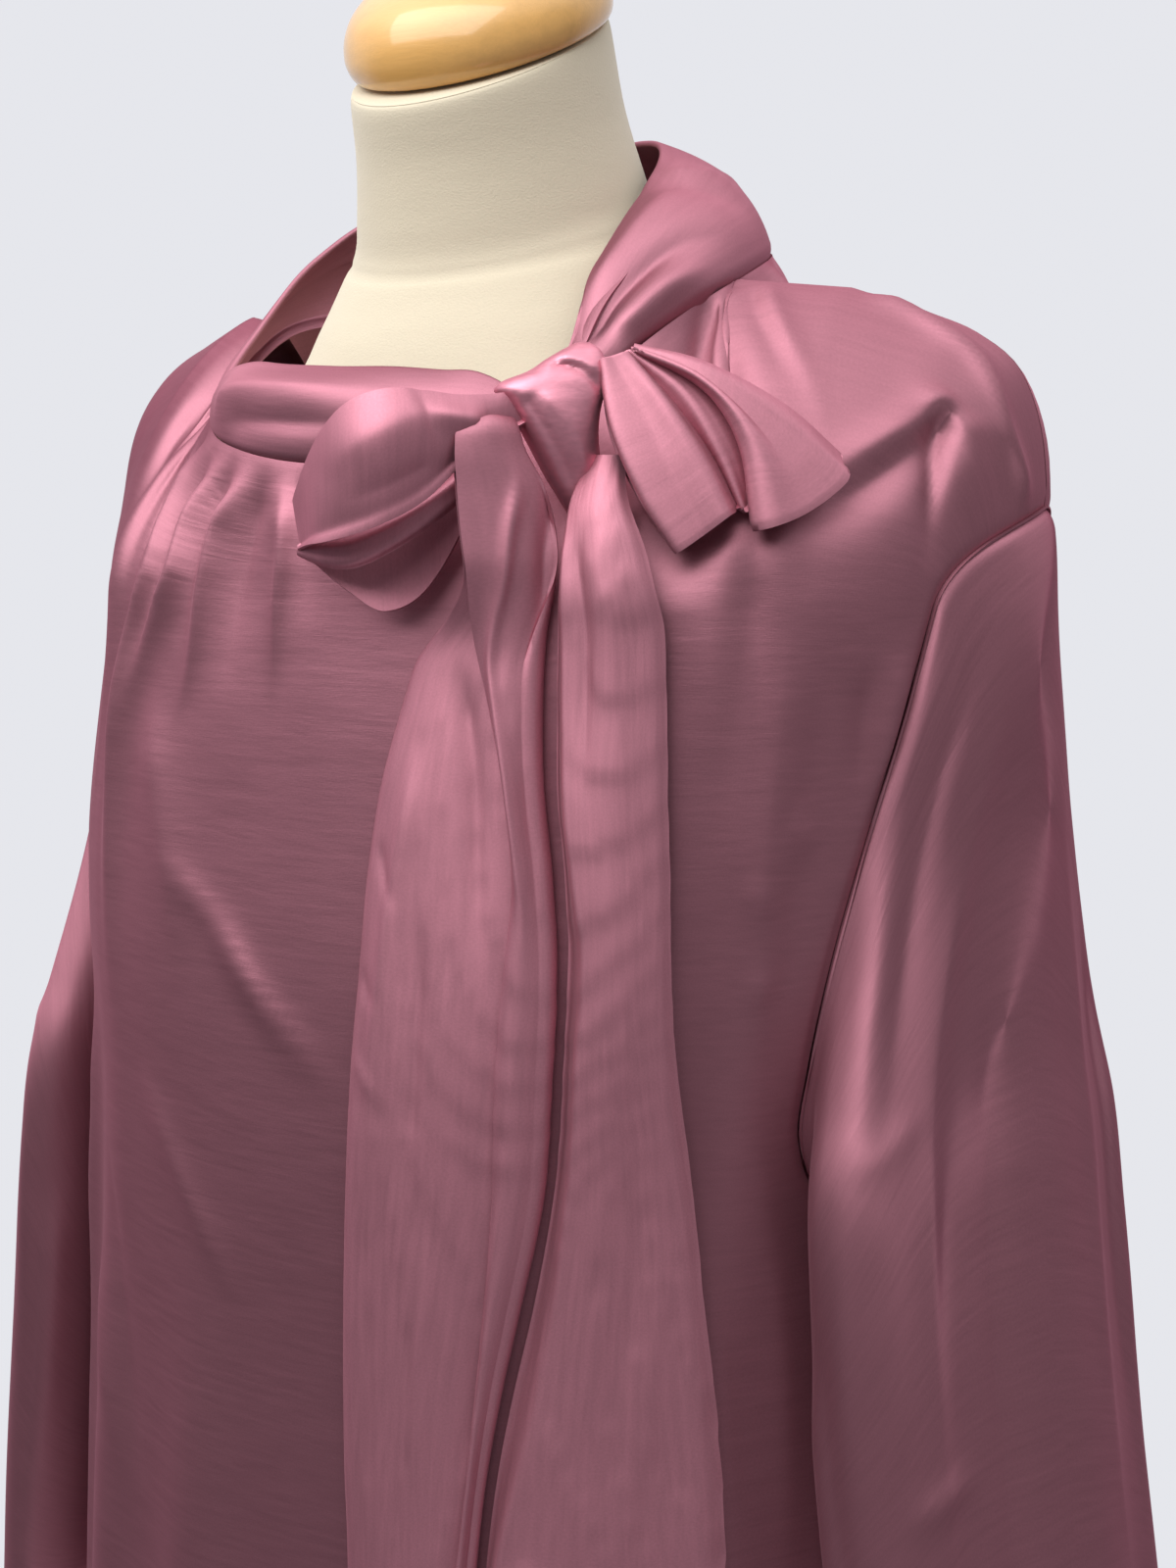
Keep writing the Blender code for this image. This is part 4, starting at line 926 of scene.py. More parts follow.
def crease_rise(surface, line, rise, width, growth, fading):
    """Rise of one crease over a surface, dying out to its sides and at its ends."""
    near = np.full(surface.shape[:-1], np.inf)
    share = np.zeros(surface.shape[:-1])
    shares = np.linspace(0, 1, len(line))
    for start, end, first, last in zip(line[:-1], line[1:], shares[:-1], shares[1:]):
        span = end - start
        part = np.clip((surface - start) @ span / (span @ span), 0, 1)
        gap = np.linalg.norm(surface - start - part[..., None] * span, axis=-1)
        closer = gap < near
        near = np.where(closer, gap, near)
        share = np.where(closer, first + (last - first) * part, share)
    taper = ease(share / growth) * ease((1 - share) / fading)
    return rise * taper * np.exp(-((near / width) ** CREASE_POWER))


def creases_rise(surface, rows, place):
    """Rise of a table of creases. The function place turns a pair of its path into a point."""
    total = np.zeros(surface.shape[:-1])
    for rise, width, growth, fading, *path in rows:
        line = smooth_line([place(*pair) for pair in zip(path[::2], path[1::2])])
        total = total + crease_rise(surface, line, rise / 1000, width / 1000, growth, fading)
    return total * bpy.context.scene.blouse_sizes.crease_depth


def hem_rise(height, edge):
    """The step of a hem that is turned up along an edge."""
    return HEM_STEP * ease((edge + HEM_DEPTH - height) / HEM_SOFTNESS)


def on_panel(facing):
    """A function that turns a height and a place across, in thousandths, into a point of a panel."""
    downs = np.linspace(0, 2, 200)

    def place(height, across):
        heights = body_point(np.full(downs.shape, across / 1000), downs, facing)[:, 2]
        down = np.interp(-height / 1000, -heights, downs)
        return body_point(np.array([across / 1000]), np.array([down]), facing)[0]

    return place


def on_sleeve(height, degrees):
    """A point of a sleeve, from a height in millimetres and an angle from its outer side."""
    x, y = sleeve_section(np.array(math.radians(degrees)), np.array(height / 1000))
    return x, y, height / 1000


def on_collar(angle, percent):
    """A point of the collar, from an angle round the neck and percent up from the neckline."""
    return collar_line(np.array([angle]), np.array([percent / 100]))[0]


def on_bow(across, up):
    """A point of the bow's plane, from places across and up in millimetres."""
    return across / 1000, up / 1000, 0.0


def on_tail(height, across):
    """A point in the tails' upright plane, from a height and a place across in millimetres."""
    return across / 1000, 0.0, height / 1000


def edge_distance(grid, column):
    """Distance of each point from one of the grid's side edges."""
    return np.linalg.norm(grid - grid[:, column][:, None, :], axis=-1)


def panel_surface(facing):
    """Outer surface of the front or the back with its gathers, folds, creases, seams and hem."""
    columns = spread(FRONT_FINE if facing > 0 else BACK_FINE)
    rows_down = np.concatenate(
        [np.linspace(0, 1, YOKE_FINE, endpoint=False), np.linspace(1, 2, LOWER_FINE)]
    )
    across, down = np.meshgrid(columns, rows_down)
    flat = body_point(across, down, facing)
    grid = panel_grid(facing, columns, rows_down)
    creases = FRONT_CREASES if facing > 0 else BACK_CREASES
    rise = creases_rise(flat, creases, on_panel(facing))
    rise = rise * ease((1 - np.abs(across)) / PANEL_SIDE_FADE)
    rise = rise - SEAM_DIP * sum(bell(edge_distance(grid, column) / SEAM_WIDTH) for column in (0, -1))
    rise = rise + hem_rise(grid[..., 2], HEM_HEIGHT)
    normal = grid_normals(grid) * facing
    normal[0] = neck_normals(grid[0])
    return (grid + normal * (rise + WALL / 2)[..., None])[:, ::facing]


def sleeve_section(turn, height):
    """Places across and deep of a sleeve's section, at angles from its outer side."""
    middle, half, front, back, slant = read_columns(SLEEVE, height)
    centre, depth = (front + back) / 2, (back - front) / 2
    power = 2 / SLEEVE_SQUARENESS
    y = centre - depth * swell(np.sin(turn), power)
    x = middle + half * swell(np.cos(turn), power) + slant * (y - centre)
    return np.stack([x, y], axis=-1)


def panel_edge(side, facing):
    """A panel's armhole edge from the shoulder to the underarm, and the way off the panel."""
    under = 1 + (CHEST_HEIGHT - UNDERARM_HEIGHT) / (CHEST_HEIGHT - HEM_HEIGHT)
    yoke, lower = SLEEVE_JOIN_FINE
    rows_down = np.concatenate([np.linspace(0, 1, yoke, endpoint=False), np.linspace(1, under, lower)])
    grid = panel_grid(facing, side * np.array((EDGE_INSIDE, 1.0)), rows_down)
    return grid[:, 1], grid[:, 1] - grid[:, 0]


def sleeve_surface(side):
    """Outer surface of a sleeve from its armhole to its end; the wearer's left for side 1."""
    front, front_away = panel_edge(side, 1)
    back, back_away = panel_edge(side, -1)
    loop = np.concatenate([front, back[-2:0:-1]]) * (side, 1, 1)
    under = len(front) - 1
    loop[0] = (front[0] + back[0]) / 2 * (side, 1, 1)
    loop[under] = (front[-1] + back[-1]) / 2 * (side, 1, 1)
    away = np.concatenate([front_away, back_away[-2:0:-1]])
    away[0] = (0, 0, -1)
    away = unit(away) * (side, 1, 1)
    turn = math.pi * np.concatenate([share_of_length(front), 2 - share_of_length(back)[-2:0:-1]])
    inner = ease((np.abs(1 - turn / math.pi) - UNDERARM_SHARE) / UNDERARM_FADE)
    drop_to_turn = SLEEVE_TURN * inner + UNDERARM_TURN * (1 - inner)
    rings = []
    start = sleeve_section(turn, loop[:, 2])
    for share in np.linspace(0, 1, SLEEVE_FINE_ROWS) ** SLEEVE_ROW_POWER:
        height = loop[:, 2] + (CUFF_HEIGHT - loop[:, 2]) * share
        fade = np.exp(-(loop[:, 2] - height) / drop_to_turn)[:, None]
        plan = sleeve_section(turn, height) + (loop[:, :2] - start) * fade
        wave = np.cos(SLEEVE_FOLDS * turn + SLEEVE_FOLD_START)
        fold = SLEEVE_FOLD * wave * ease(share / SLEEVE_FOLD_LENGTH)
        plan = plan + (fold * np.cos(turn))[:, None] * (1.0, 0.0)
        rings.append(np.column_stack([plan, height]))
    grid = np.array(rings)
    below = np.linalg.norm(grid - grid[0], axis=-1)
    rise = creases_rise(grid, SLEEVE_CREASES, on_sleeve) * ease(below / SLEEVE_TOP_FADE)
    rise = rise - SEAM_DIP * bell(below / SEAM_WIDTH) + hem_rise(grid[..., 2], CUFF_HEIGHT)
    grid[0] = grid[0] + away * SEAM_ROOM
    grid = grid * (side, 1, 1)
    normal = -side * grid_normals(grid, closed=True)
    grid = grid + normal * (rise + WALL / 2)[..., None]
    return grid[:, ::-side]


def collar_line(angles, share):
    """Points of the collar's middle surface, at angles round the neck and shares up from the neckline."""
    width, lean, puff = read_columns(BAND, angles)
    base = neckline(np.where(angles > BAND_HALF_WAY, angles - 360, angles))
    turn, tilt = np.radians(angles), np.radians(lean)
    inward = points(-np.sin(turn), np.cos(turn), 0.0)
    up = np.array((0.0, 0.0, 1.0))
    rise = np.cos(tilt)[..., None] * up + np.sin(tilt)[..., None] * inward
    out = np.sin(tilt)[..., None] * up - np.cos(tilt)[..., None] * inward
    bulge = puff * 4 * share * (1 - share)
    reach = width * share + BAND_ROOM
    return base + rise * reach[..., None] + out * bulge[..., None]


def collar_surface():
    """The collar: its inner layer, the rounded fold along its top, and its outer layer to the seam."""
    rows, columns = COLLAR_FINE
    angles = np.linspace(BAND[0][0], BAND[-1][0], columns)

    def row(share):
        return collar_line(angles, np.full(angles.shape, share))

    shares = np.linspace(1, 0, rows)
    outer = np.array([row(share) for share in shares])
    normal = grid_normals(outer)
    rise = creases_rise(outer, COLLAR_CREASES, on_collar)
    rise = rise * np.minimum(shares * COLLAR_CREASE_START, 1)[:, None]
    outer = outer + normal * (rise + COLLAR_FOLD * ease(shares * COLLAR_FOLD_START)[:, None])[..., None]
    inner = np.array([row(share) for share in np.linspace(1 - COLLAR_INSIDE, 1, COLLAR_INSIDE_ROWS)])
    inner = inner - grid_normals(inner[::-1])[::-1] * COLLAR_FOLD
    top, way_up = row(1.0), unit(outer[0] - outer[1])
    fold = []
    for turn in np.linspace(math.pi, 0, COLLAR_FOLD_ROWS)[1:-1]:
        fold.append(top + COLLAR_FOLD * (normal[0] * math.cos(turn) + way_up * math.sin(turn)))
    tucked = [row(share) - normal[-1] * depth for share, depth in COLLAR_TUCK]
    return np.concatenate([inner, np.array(fold), outer, np.array(tucked)])


def bow_axes():
    """The bow's middle, and its ways across and out."""
    turn = math.radians(KNOT_ANGLE)
    outward = np.array((math.sin(turn), -math.cos(turn), 0.0))
    sideways = np.array((math.cos(turn), math.sin(turn), 0.0))
    return outward * KNOT_REACH + (0, 0, KNOT_HEIGHT), sideways, outward


def bow_point(across, up, out):
    """A point laid out on the bow's own plane, in the blouse's frame."""
    centre, sideways, outward = bow_axes()
    return (
        centre
        + np.multiply.outer(across, sideways)
        + np.multiply.outer(up, (0, 0, 1.0))
        + np.multiply.outer(out, outward)
    )


def bow_frame(at):
    """Across, up and out on the bow's own plane, of points in the blouse's frame."""
    centre, sideways, outward = bow_axes()
    offset = at - centre
    return np.stack([offset @ sideways, offset[..., 2], offset @ outward], axis=-1)


class Ground:
    """How far out a surface reaches over a plane of places, for pieces that rest on it."""

    def __init__(self, surface, step=0.004):
        self.step = step
        self.low = surface[:, :2].min(axis=0)
        cells = np.rint((surface[:, :2] - self.low) / step).astype(int)
        out = np.full(cells.max(axis=0) + 1, -np.inf)
        np.maximum.at(out, (cells[:, 0], cells[:, 1]), surface[:, 2])
        for _ in range(40):
            out = np.where(np.isinf(out), self.beside(out).max(axis=0), out)
        for _ in range(2):
            out = np.maximum(out, (out + self.beside(out).mean(axis=0)) / 2)
        self.out = out

    def beside(self, out):
        """The values of each cell's four neighbours."""
        wide = np.pad(out, 1, mode="edge")
        return np.stack([wide[:-2, 1:-1], wide[2:, 1:-1], wide[1:-1, :-2], wide[1:-1, 2:]])

    def at(self, first, second):
        """How far out the surface reaches at places of the plane."""
        x = np.clip((first - self.low[0]) / self.step, 0, self.out.shape[0] - 1.001)
        y = np.clip((second - self.low[1]) / self.step, 0, self.out.shape[1] - 1.001)
        i, j = x.astype(int), y.astype(int)
        u, v = x - i, y - j
        left = self.out[i, j] * (1 - v) + self.out[i, j + 1] * v
        right = self.out[i + 1, j] * (1 - v) + self.out[i + 1, j + 1] * v
        return left * (1 - u) + right * u


def front_under_bow():
    """Outer points of the front, dense enough for what rests on it."""
    grid = panel_grid(1, np.linspace(*GROUND_ACROSS), np.linspace(*GROUND_DOWN))
    return (grid + grid_normals(grid) * WALL / 2).reshape(-1, 3)


def loop_right_surface():
    """The loop on the wearer's right: out along its front layer, round its end, back along the other."""
    rows, steps = LOOP_RIGHT_FINE
    out_and_back = np.linspace(0, 2, 2 * steps - 1)
    path = 1 - np.abs(out_and_back - 1)
    on_back = ease((out_and_back - LOOP_TURN_START) / LOOP_TURN)
    reach, upper, lower_front, lower_back, lift_front, lift_back = read_columns(LOOP_RIGHT, path)
    lower = lower_front + (lower_back - lower_front) * on_back
    lift = lift_front + (lift_back - lift_front) * on_back
    lift = lift - LOOP_BEND * (reach / reach.max()) ** 2
    tip = LOOP_TIP * ease((path - LOOP_TIP_START) / (1 - LOOP_TIP_START))
    grid = []
    for share in np.linspace(0, 1, rows):
        crown = LOOP_CROWN * (1 - (2 * share - 1) ** 2) * (1 - 2 * on_back) * np.sin(math.pi * path)
        up = upper + (lower - upper) * share
        grid.append(bow_point(tip * share - reach - LOOP_SKEW * lift, up, lift + crown))
    grid = np.array(grid)
    rise = creases_rise(bow_frame(grid) * (1, 1, 0), LOOP_RIGHT_CREASES, on_bow)
    rise = rise - LOOP_ROLL * bell(np.linspace(1, 0, rows) / LOOP_ROLL_SHARE)[:, None]
    return grid + grid_normals(grid) * (rise * (1 - on_back) + LOOP_WALL / 2)[..., None]


def loop_pleat_surface():
    """The inner pleat that shows in the right loop's open mouth."""
    rows, columns = LOOP_PLEAT_FINE
    shares = np.linspace(0, 1, columns)
    across, upper, lower, lift = read_columns(LOOP_PLEAT, shares)
    lift = lift - LOOP_BEND * (across / across.min()) ** 2
    grid = []
    for share in np.linspace(0, 1, rows):
        hidden = np.clip(1 - share / LOOP_PLEAT_HIDDEN, 0, 1) ** 2
        out = lift - LOOP_PLEAT_DEPTH * hidden * np.sin(math.pi * shares)
        out = out - PLEAT_ROLL * bell((1 - share) / PLEAT_ROLL_SHARE)
        grid.append(bow_point(across - LOOP_SKEW * out, upper + (lower - upper) * share, out))
    return np.array(grid)


def loop_left_surface(ground):
    """The loop on the wearer's left, laid in three pleats over the front."""
    count, steps = LOOP_LEFT_FINE
    along = np.linspace(0, 1, steps)
    path = np.concatenate([along, along[::-1]])
    under = np.repeat((0.0, 1.0), steps)
    rows = read_rows(LOOP_LEFT_PLEATS, np.linspace(0, 1, count))
    lines = [read_rows(np.column_stack([LOOP_LEFT_SHARES, row[0:8:2], row[1:8:2]]), path) for row in rows]
    across, up = np.moveaxis(np.array(lines), -1, 0)
    end_lift = rows[:, 8][:, None]
    end_out = ground.at(across[:, steps - 1], up[:, steps - 1])[:, None] + end_lift
    mean = end_lift.mean()
    pleats = (end_lift - mean) * (LOOP_PLEAT_ROOT + (1 - LOOP_PLEAT_ROOT) * path)
    arch = np.clip(np.sin(math.pi * path), 0, 1)
    out = LOOP_ROOT + (end_out - end_lift - LOOP_ROOT) * path ** LOOP_LIFT_POWER
    out = out + mean * (LOOP_LIFT_ROOT + (1 - LOOP_LIFT_ROOT) * path)
    out = out + pleats * (1 - LOOP_BEHIND_FLATTER * under)
    out = out + LOOP_ARCH * arch * (1 - under) - LOOP_DEPTH * under * arch**0.5
    out = np.maximum(out, ground.at(across, up) + LOOP_ROOM + LOOP_LAYER_ROOM * (1 - under))
    return bow_point(across, up, out)[:, ::-1]


def knot_rings():
    """Rings of the wrapped knot from its lower end to its top, with the wrap's slanting folds."""
    count, sides = KNOT_FINE
    turn = round_turn(sides)
    up = np.linspace(KNOT[0][0], KNOT[-1][0], count)[:, None]
    left, right, depth = read_columns(KNOT, up)
    ridge = 1 + KNOT_RIDGE * np.cos(KNOT_RIDGES * turn + KNOT_TWIST * up)
    across = (left + right) / 2 + (right - left) / 2 * swell(np.cos(turn), KNOT_SQUARE)
    out = -depth * swell(np.sin(turn), KNOT_SQUARE) * ridge
    rise = creases_rise(points(across, up, 0.0), KNOT_CREASES, on_bow)
    out = out + rise * ease((out + KNOT_BEHIND) / KNOT_CREASE_START)
    return bow_point(across, up + 0 * across, out)


def tail_places(folds, fineness):
    """Shares across a tail and heights down it, on a grid."""
    rows, columns = fineness
    return np.meshgrid(np.linspace(0, 1, columns), np.linspace(folds[-1][0], folds[0][0], rows))


def on_front(ground, x, height, lift):
    """Points at a lift over the front, whose own places are across and up."""
    return points(x, -(ground.at(x, height) + lift + DOUBLE_WALL / 2), height)


def tail_right_surface(ground):
    """The tail under the bow: a broad layer whose outer part is folded back over it as a strip."""
    share, height = tail_places(TAIL_RIGHT_FOLDS, TAIL_RIGHT_FINE)
    broad, left, right, lift, plump, strip = read_columns(TAIL_RIGHT_FOLDS, height)
    lower = np.clip(share / TAIL_BROAD_END, 0, 1)
    upper = np.clip((share - TAIL_TURN_END) / (1 - TAIL_TURN_END), 0, 1)
    turn = np.clip((share - TAIL_BROAD_END) / (TAIL_TURN_END - TAIL_BROAD_END), 0, 1)
    on_broad, on_strip = share < TAIL_BROAD_END, share > TAIL_TURN_END
    radius = (strip - lift) / 2
    edge = right - radius
    x = np.where(on_broad, broad + (edge - broad) * lower, edge + (left - edge) * upper)
    x = x + radius * np.sin(math.pi * turn)
    bulge = plump * np.sin(math.pi * lower**TAIL_BROAD_POWER) ** TAIL_BROAD_POWER
    out = lift + radius * (1 - np.cos(math.pi * turn)) + bulge * on_broad
    out = out + (STRIP_DOME * np.sin(math.pi * upper) + STRIP_LIFT * upper) * on_strip
    flat = points(x, 0 * x, height)
    rise = creases_rise(flat, TAIL_RIGHT_CREASES, on_tail) * ~on_strip
    rise = rise + creases_rise(flat, STRIP_CREASES, on_tail) * on_strip
    lying = on_front(ground, x, height, out + rise)
    near, far, near_out, far_out = read_columns(TAIL_RIGHT_TOP, height - KNOT_HEIGHT)
    across = np.where(on_strip, 1 - upper, lower)
    behind = (1 + np.cos(math.pi * turn)) / 2
    top_out = near_out + (far_out - near_out) * across - TAIL_TOP_DEPTH * behind
    top_out = top_out + (TAIL_TOP_DOME * np.sin(math.pi * across) + rise) * on_strip
    hanging = bow_point(near + (far - near) * across, height - KNOT_HEIGHT, top_out)
    return lying + (hanging - lying) * ease((height - TAIL_TOP_START) / TAIL_TOP_LENGTH)[..., None]


def tail_left_surface(ground):
    """The other tail: a narrow flank turned from the light, a broad face, and an edge that stands off."""
    share, height = tail_places(TAIL_LEFT_FOLDS, TAIL_LEFT_FINE)
    inner, ridge, outer, low_lift, ridge_lift, outer_lift = read_columns(TAIL_LEFT_FOLDS, height)
    x = inner + (outer - inner) * share
    on_flank = np.clip((x - inner) / (ridge - inner), 0, 1)
    on_face = np.clip((x - ridge) / (outer - ridge), 0, 1)
    lift = low_lift + (ridge_lift - low_lift) * ease(on_flank)
    lift = lift + (outer_lift - ridge_lift) * on_face + FACE_DOME * np.sin(math.pi * on_face)
    lift = lift - FACE_ROLL * bell((1 - on_face) / FACE_ROLL_SHARE)
    rise = creases_rise(points(x, 0 * x, height), TAIL_LEFT_CREASES, on_tail)
    return on_front(ground, x, height, lift + rise)


def form_rings():
    """Rings of the dress form from its underside to the top of its neck, with its neck seam and hem."""
    count, sides = FORM_FINE
    turn = round_turn(sides)
    last = len(FORM) - 1
    steps = np.linspace(0, last, count)
    seam, seam_depth, seam_width = FORM_SEAM
    hem, hem_step, hem_softness = FORM_HEM
    rings = []
    for step, row in zip(steps, read_rows(np.column_stack([np.arange(last + 1), FORM]), steps)):
        half_width, front, back, side_height, front_height, back_height = row
        groove = 1 - seam_depth * bell((step / last - seam) / seam_width)
        groove = groove + hem_step * ease((step / last - hem) / hem_softness)
        middle = read_rows(FORM_MIDDLE, side_height)[..., 0]
        depth = np.where(np.cos(turn) > 0, front, back)
        level = np.where(np.cos(turn) > 0, front_height, back_height)
        height = side_height + (level - side_height) * np.abs(np.cos(turn))
        x = half_width * groove * np.sin(turn)
        rings.append(points(x, middle - depth * groove * np.cos(turn), height))
    return np.array(rings)


def turned_rings(profile, fineness):
    """Rings round the upright axis from a profile of radius and height."""
    count, sides = fineness
    turn = round_turn(sides)
    return np.array([points(r * np.sin(turn), -r * np.cos(turn), h) for r, h in smooth_line(profile, count)])


def cap_rings():
    """Rings of the turned neck cap, tilted with the top of the neck."""
    tilt = math.radians(CAP_TILT)
    rings = turned_rings([(CAP_RADIUS * share, rise) for share, rise in CAP_PROFILE], CAP_FINE)
    forward, rise = -rings[..., 1], rings[..., 2]
    y = -forward * math.cos(tilt) - rise * math.sin(tilt)
    z = -forward * math.sin(tilt) + rise * math.cos(tilt)
    return points(rings[..., 0], y, z) + CAP_MIDDLE


def named(name):
    """The object that was just added, under its own name."""
    made = bpy.context.object
    made.name = name
    made.data.name = name
    return made


def edit_all():
    """Edit mode, with everything selected."""
    bpy.ops.object.mode_set(mode="EDIT")
    bpy.ops.mesh.select_all(action="SELECT")


def vertex_places(mesh):
    """Places of a new primitive's vertices, which tell where each one belongs."""
    places = np.empty(len(mesh.vertices) * 3, np.float32)
    mesh.vertices.foreach_get("co", places)
    return places.reshape(-1, 3)


def lengths_along(grid, axis):
    """Mean length of a grid from its first row or column to each other one."""
    steps = np.linalg.norm(np.diff(grid, axis=axis), axis=-1).mean(axis=1 - axis)
    return np.concatenate([[0], np.cumsum(steps)])


def cloth(name, grid, thickness, closed=False, offset=-1.0):
    """A sheet of cloth on a grid of points, rows down and columns along, given a thin wall."""
    if closed:
        grid = np.concatenate([grid, grid[:, :1]], axis=1)
    rows, columns = grid.shape[:2]
    bpy.ops.object.select_all(action="DESELECT")
    bpy.ops.mesh.primitive_grid_add(
        x_subdivisions=columns - 1, y_subdivisions=rows - 1, size=1, calc_uvs=True
    )
    made = named(name)
    mesh = made.data
    places = vertex_places(mesh)
    column = np.rint((places[:, 0] + 0.5) * (columns - 1)).astype(int)
    row = np.rint((0.5 - places[:, 1]) * (rows - 1)).astype(int)
    mesh.vertices.foreach_set("co", grid[row, column].astype(np.float32).ravel())
    corners = np.empty(len(mesh.loops), np.int32)
    mesh.loops.foreach_get("vertex_index", corners)
    flat = np.column_stack([lengths_along(grid, 1)[column], -lengths_along(grid, 0)[row]])[corners]
    layer = mesh.uv_layers[0]
    layer.name = "cloth"
    layer.data.foreach_set("uv", flat.astype(np.float32).ravel())
    mesh.update()
    if closed:
        edit_all()
        bpy.ops.mesh.remove_doubles(threshold=1e-6)
        bpy.ops.object.mode_set(mode="OBJECT")
    wall = made.modifiers.new("wall", "SOLIDIFY")
    wall.thickness = thickness
    wall.offset = offset
    bpy.ops.object.modifier_apply(modifier=wall.name)
    bpy.ops.object.shade_smooth_by_angle(angle=math.radians(CLOTH_SHARP))
    return made


def ring_body(name, rings):
    """A closed body: a filled disc pulled up ring by ring, then shaped to the rings."""
    count, sides = rings.shape[:2]
    bpy.ops.object.select_all(action="DESELECT")
    bpy.ops.mesh.primitive_circle_add(vertices=sides, radius=1, fill_type="NGON")
    made = named(name)
    edit_all()
    for _ in range(count - 1):
        bpy.ops.mesh.extrude_region_move(TRANSFORM_OT_translate={"value": (0, 0, 1)})
    bpy.ops.object.mode_set(mode="OBJECT")
    mesh = made.data
    places = vertex_places(mesh)
    ring = np.rint(places[:, 2]).astype(int)
    turn = np.arctan2(places[:, 0], -places[:, 1]) / (2 * math.pi) * sides
    side = np.rint(turn).astype(int) % sides
    mesh.vertices.foreach_set("co", rings[ring, side].astype(np.float32).ravel())
    mesh.update()
    edit_all()
    bpy.ops.mesh.normals_make_consistent(inside=False)
    bpy.ops.object.mode_set(mode="OBJECT")
    bpy.ops.object.shade_smooth_by_angle(angle=math.radians(ROUND_SHARP))
    return made


def joined(first, *others):
    """Several objects made one."""
    bpy.ops.object.select_all(action="DESELECT")
    for piece in (first, *others):
        piece.select_set(True)
    bpy.context.view_layer.objects.active = first
    bpy.ops.object.join()
    return first


def finish_piece(piece, node, material):
    """Gives a piece its material, hangs it on the root body and hides the CAD solid that it stands for."""
    piece.data.materials.clear()
    piece.data.materials.append(material)
    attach(piece, "root")
    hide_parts(node)


class Value:
    """A socket of a material, so that sums on it are written as plain sums."""

    def __init__(self, finish, socket):
        self.finish = finish
        self.socket = socket

    def maths(self, operation, first, second):
        """The socket of a Math node on two values."""
        return self.finish.node("ShaderNodeMath", {"operation": operation}, {0: first, 1: second})

    def __add__(self, other):
        return self.maths("ADD", self, other)

    def __radd__(self, other):
        return self.maths("ADD", other, self)

    def __mul__(self, other):
        return self.maths("MULTIPLY", self, other)

    def __rmul__(self, other):
        return self.maths("MULTIPLY", other, self)


class Nodes:
    """A node tree, with one way to add any node."""

    def __init__(self, tree):
        self.tree = tree

    def node(self, kind, settings, values, output=0):
        """A node of a kind, with its settings first, then the values or links of its sockets."""
        made = self.tree.nodes.new(kind)
        for name, setting in settings.items():
            setattr(made, name, setting)
        for socket, value in values.items():
            if isinstance(value, Value):
                self.tree.links.new(value.socket, made.inputs[socket])
            else:
                made.inputs[socket].default_value = value
        return Value(self, made.outputs[output])

    def mix(self, factor, first, second):
        """A colour between two, as its outer factor goes from 0 to 1."""
        made = self.tree.nodes.new("ShaderNodeMix")
        made.data_type = "RGBA"
        self.tree.links.new(factor.socket, made.inputs[0])
        for socket, value in ((6, first), (7, second)):
            if isinstance(value, Value):
                self.tree.links.new(value.socket, made.inputs[socket])
            else:
                made.inputs[socket].default_value = (*value, 1.0)
        return Value(self, made.outputs[2])


class Finish(Nodes):
    """A material: its shader, and the ways to feed it."""

    def __init__(self, name, roughness, metallic=0.0, constants=()):
        self.material = bpy.data.materials.new(name)
        self.material.use_nodes = True
        super().__init__(self.material.node_tree)
        self.shader = self.tree.nodes["Principled BSDF"]
        self.shader.inputs["Roughness"].default_value = roughness
        self.shader.inputs["Metallic"].default_value = metallic
        for socket, value in constants:
            self.shader.inputs[socket].default_value = value

    def feed(self, socket, value):
        """Links a value to a socket of the shader."""
        self.tree.links.new(value.socket, self.shader.inputs[socket])

    def object_place(self, scale):
        """Places in the piece's own space, scaled."""
        where = self.node("ShaderNodeTexCoord", {}, {}, "Object")
        return self.node("ShaderNodeMapping", {}, {"Vector": where, "Scale": scale})

    def cloth_place(self, scale):
        """Places on the flat cloth, scaled."""
        where = self.node("ShaderNodeUVMap", {"uv_map": "cloth"}, {})
        return self.node("ShaderNodeMapping", {}, {"Vector": where, "Scale": scale})

    def noise(self, place, detail=2.0, roughness=0.5, distortion=0.0):
        """Soft random values from 0 to 1 over places."""
        values = {"Scale": 1.0, "Detail": detail, "Roughness": roughness, "Distortion": distortion}
        return self.node("ShaderNodeTexNoise", {"noise_dimensions": "3D"}, {"Vector": place, **values})

    def bump(self, height, distance, strength):
        """A relief of a height, over a distance in metres."""
        values = {"Height": height, "Distance": distance, "Strength": strength}
        self.feed("Normal", self.node("ShaderNodeBump", {}, values))


def shade(colour, factor):
    """A colour made darker or lighter."""
    return tuple(channel * factor for channel in colour)


def satin_base(name, brushed):
    """The satin's gloss, before its colour and relief. Brushed satin gleams across its threads."""
    colours = bpy.context.scene.blouse_colours
    constants = (
        ("Sheen Weight", 0.10),
        ("Sheen Roughness", 0.35),
        ("Sheen Tint", (*colours.satin_sheen, 1.0)),
        ("Specular IOR Level", 0.30),
        ("Specular Tint", (*colours.satin_edge, 1.0)),
        ("Anisotropic", brushed),
    )
    return Finish(name, 0.42, colours.satin_gleam, constants)


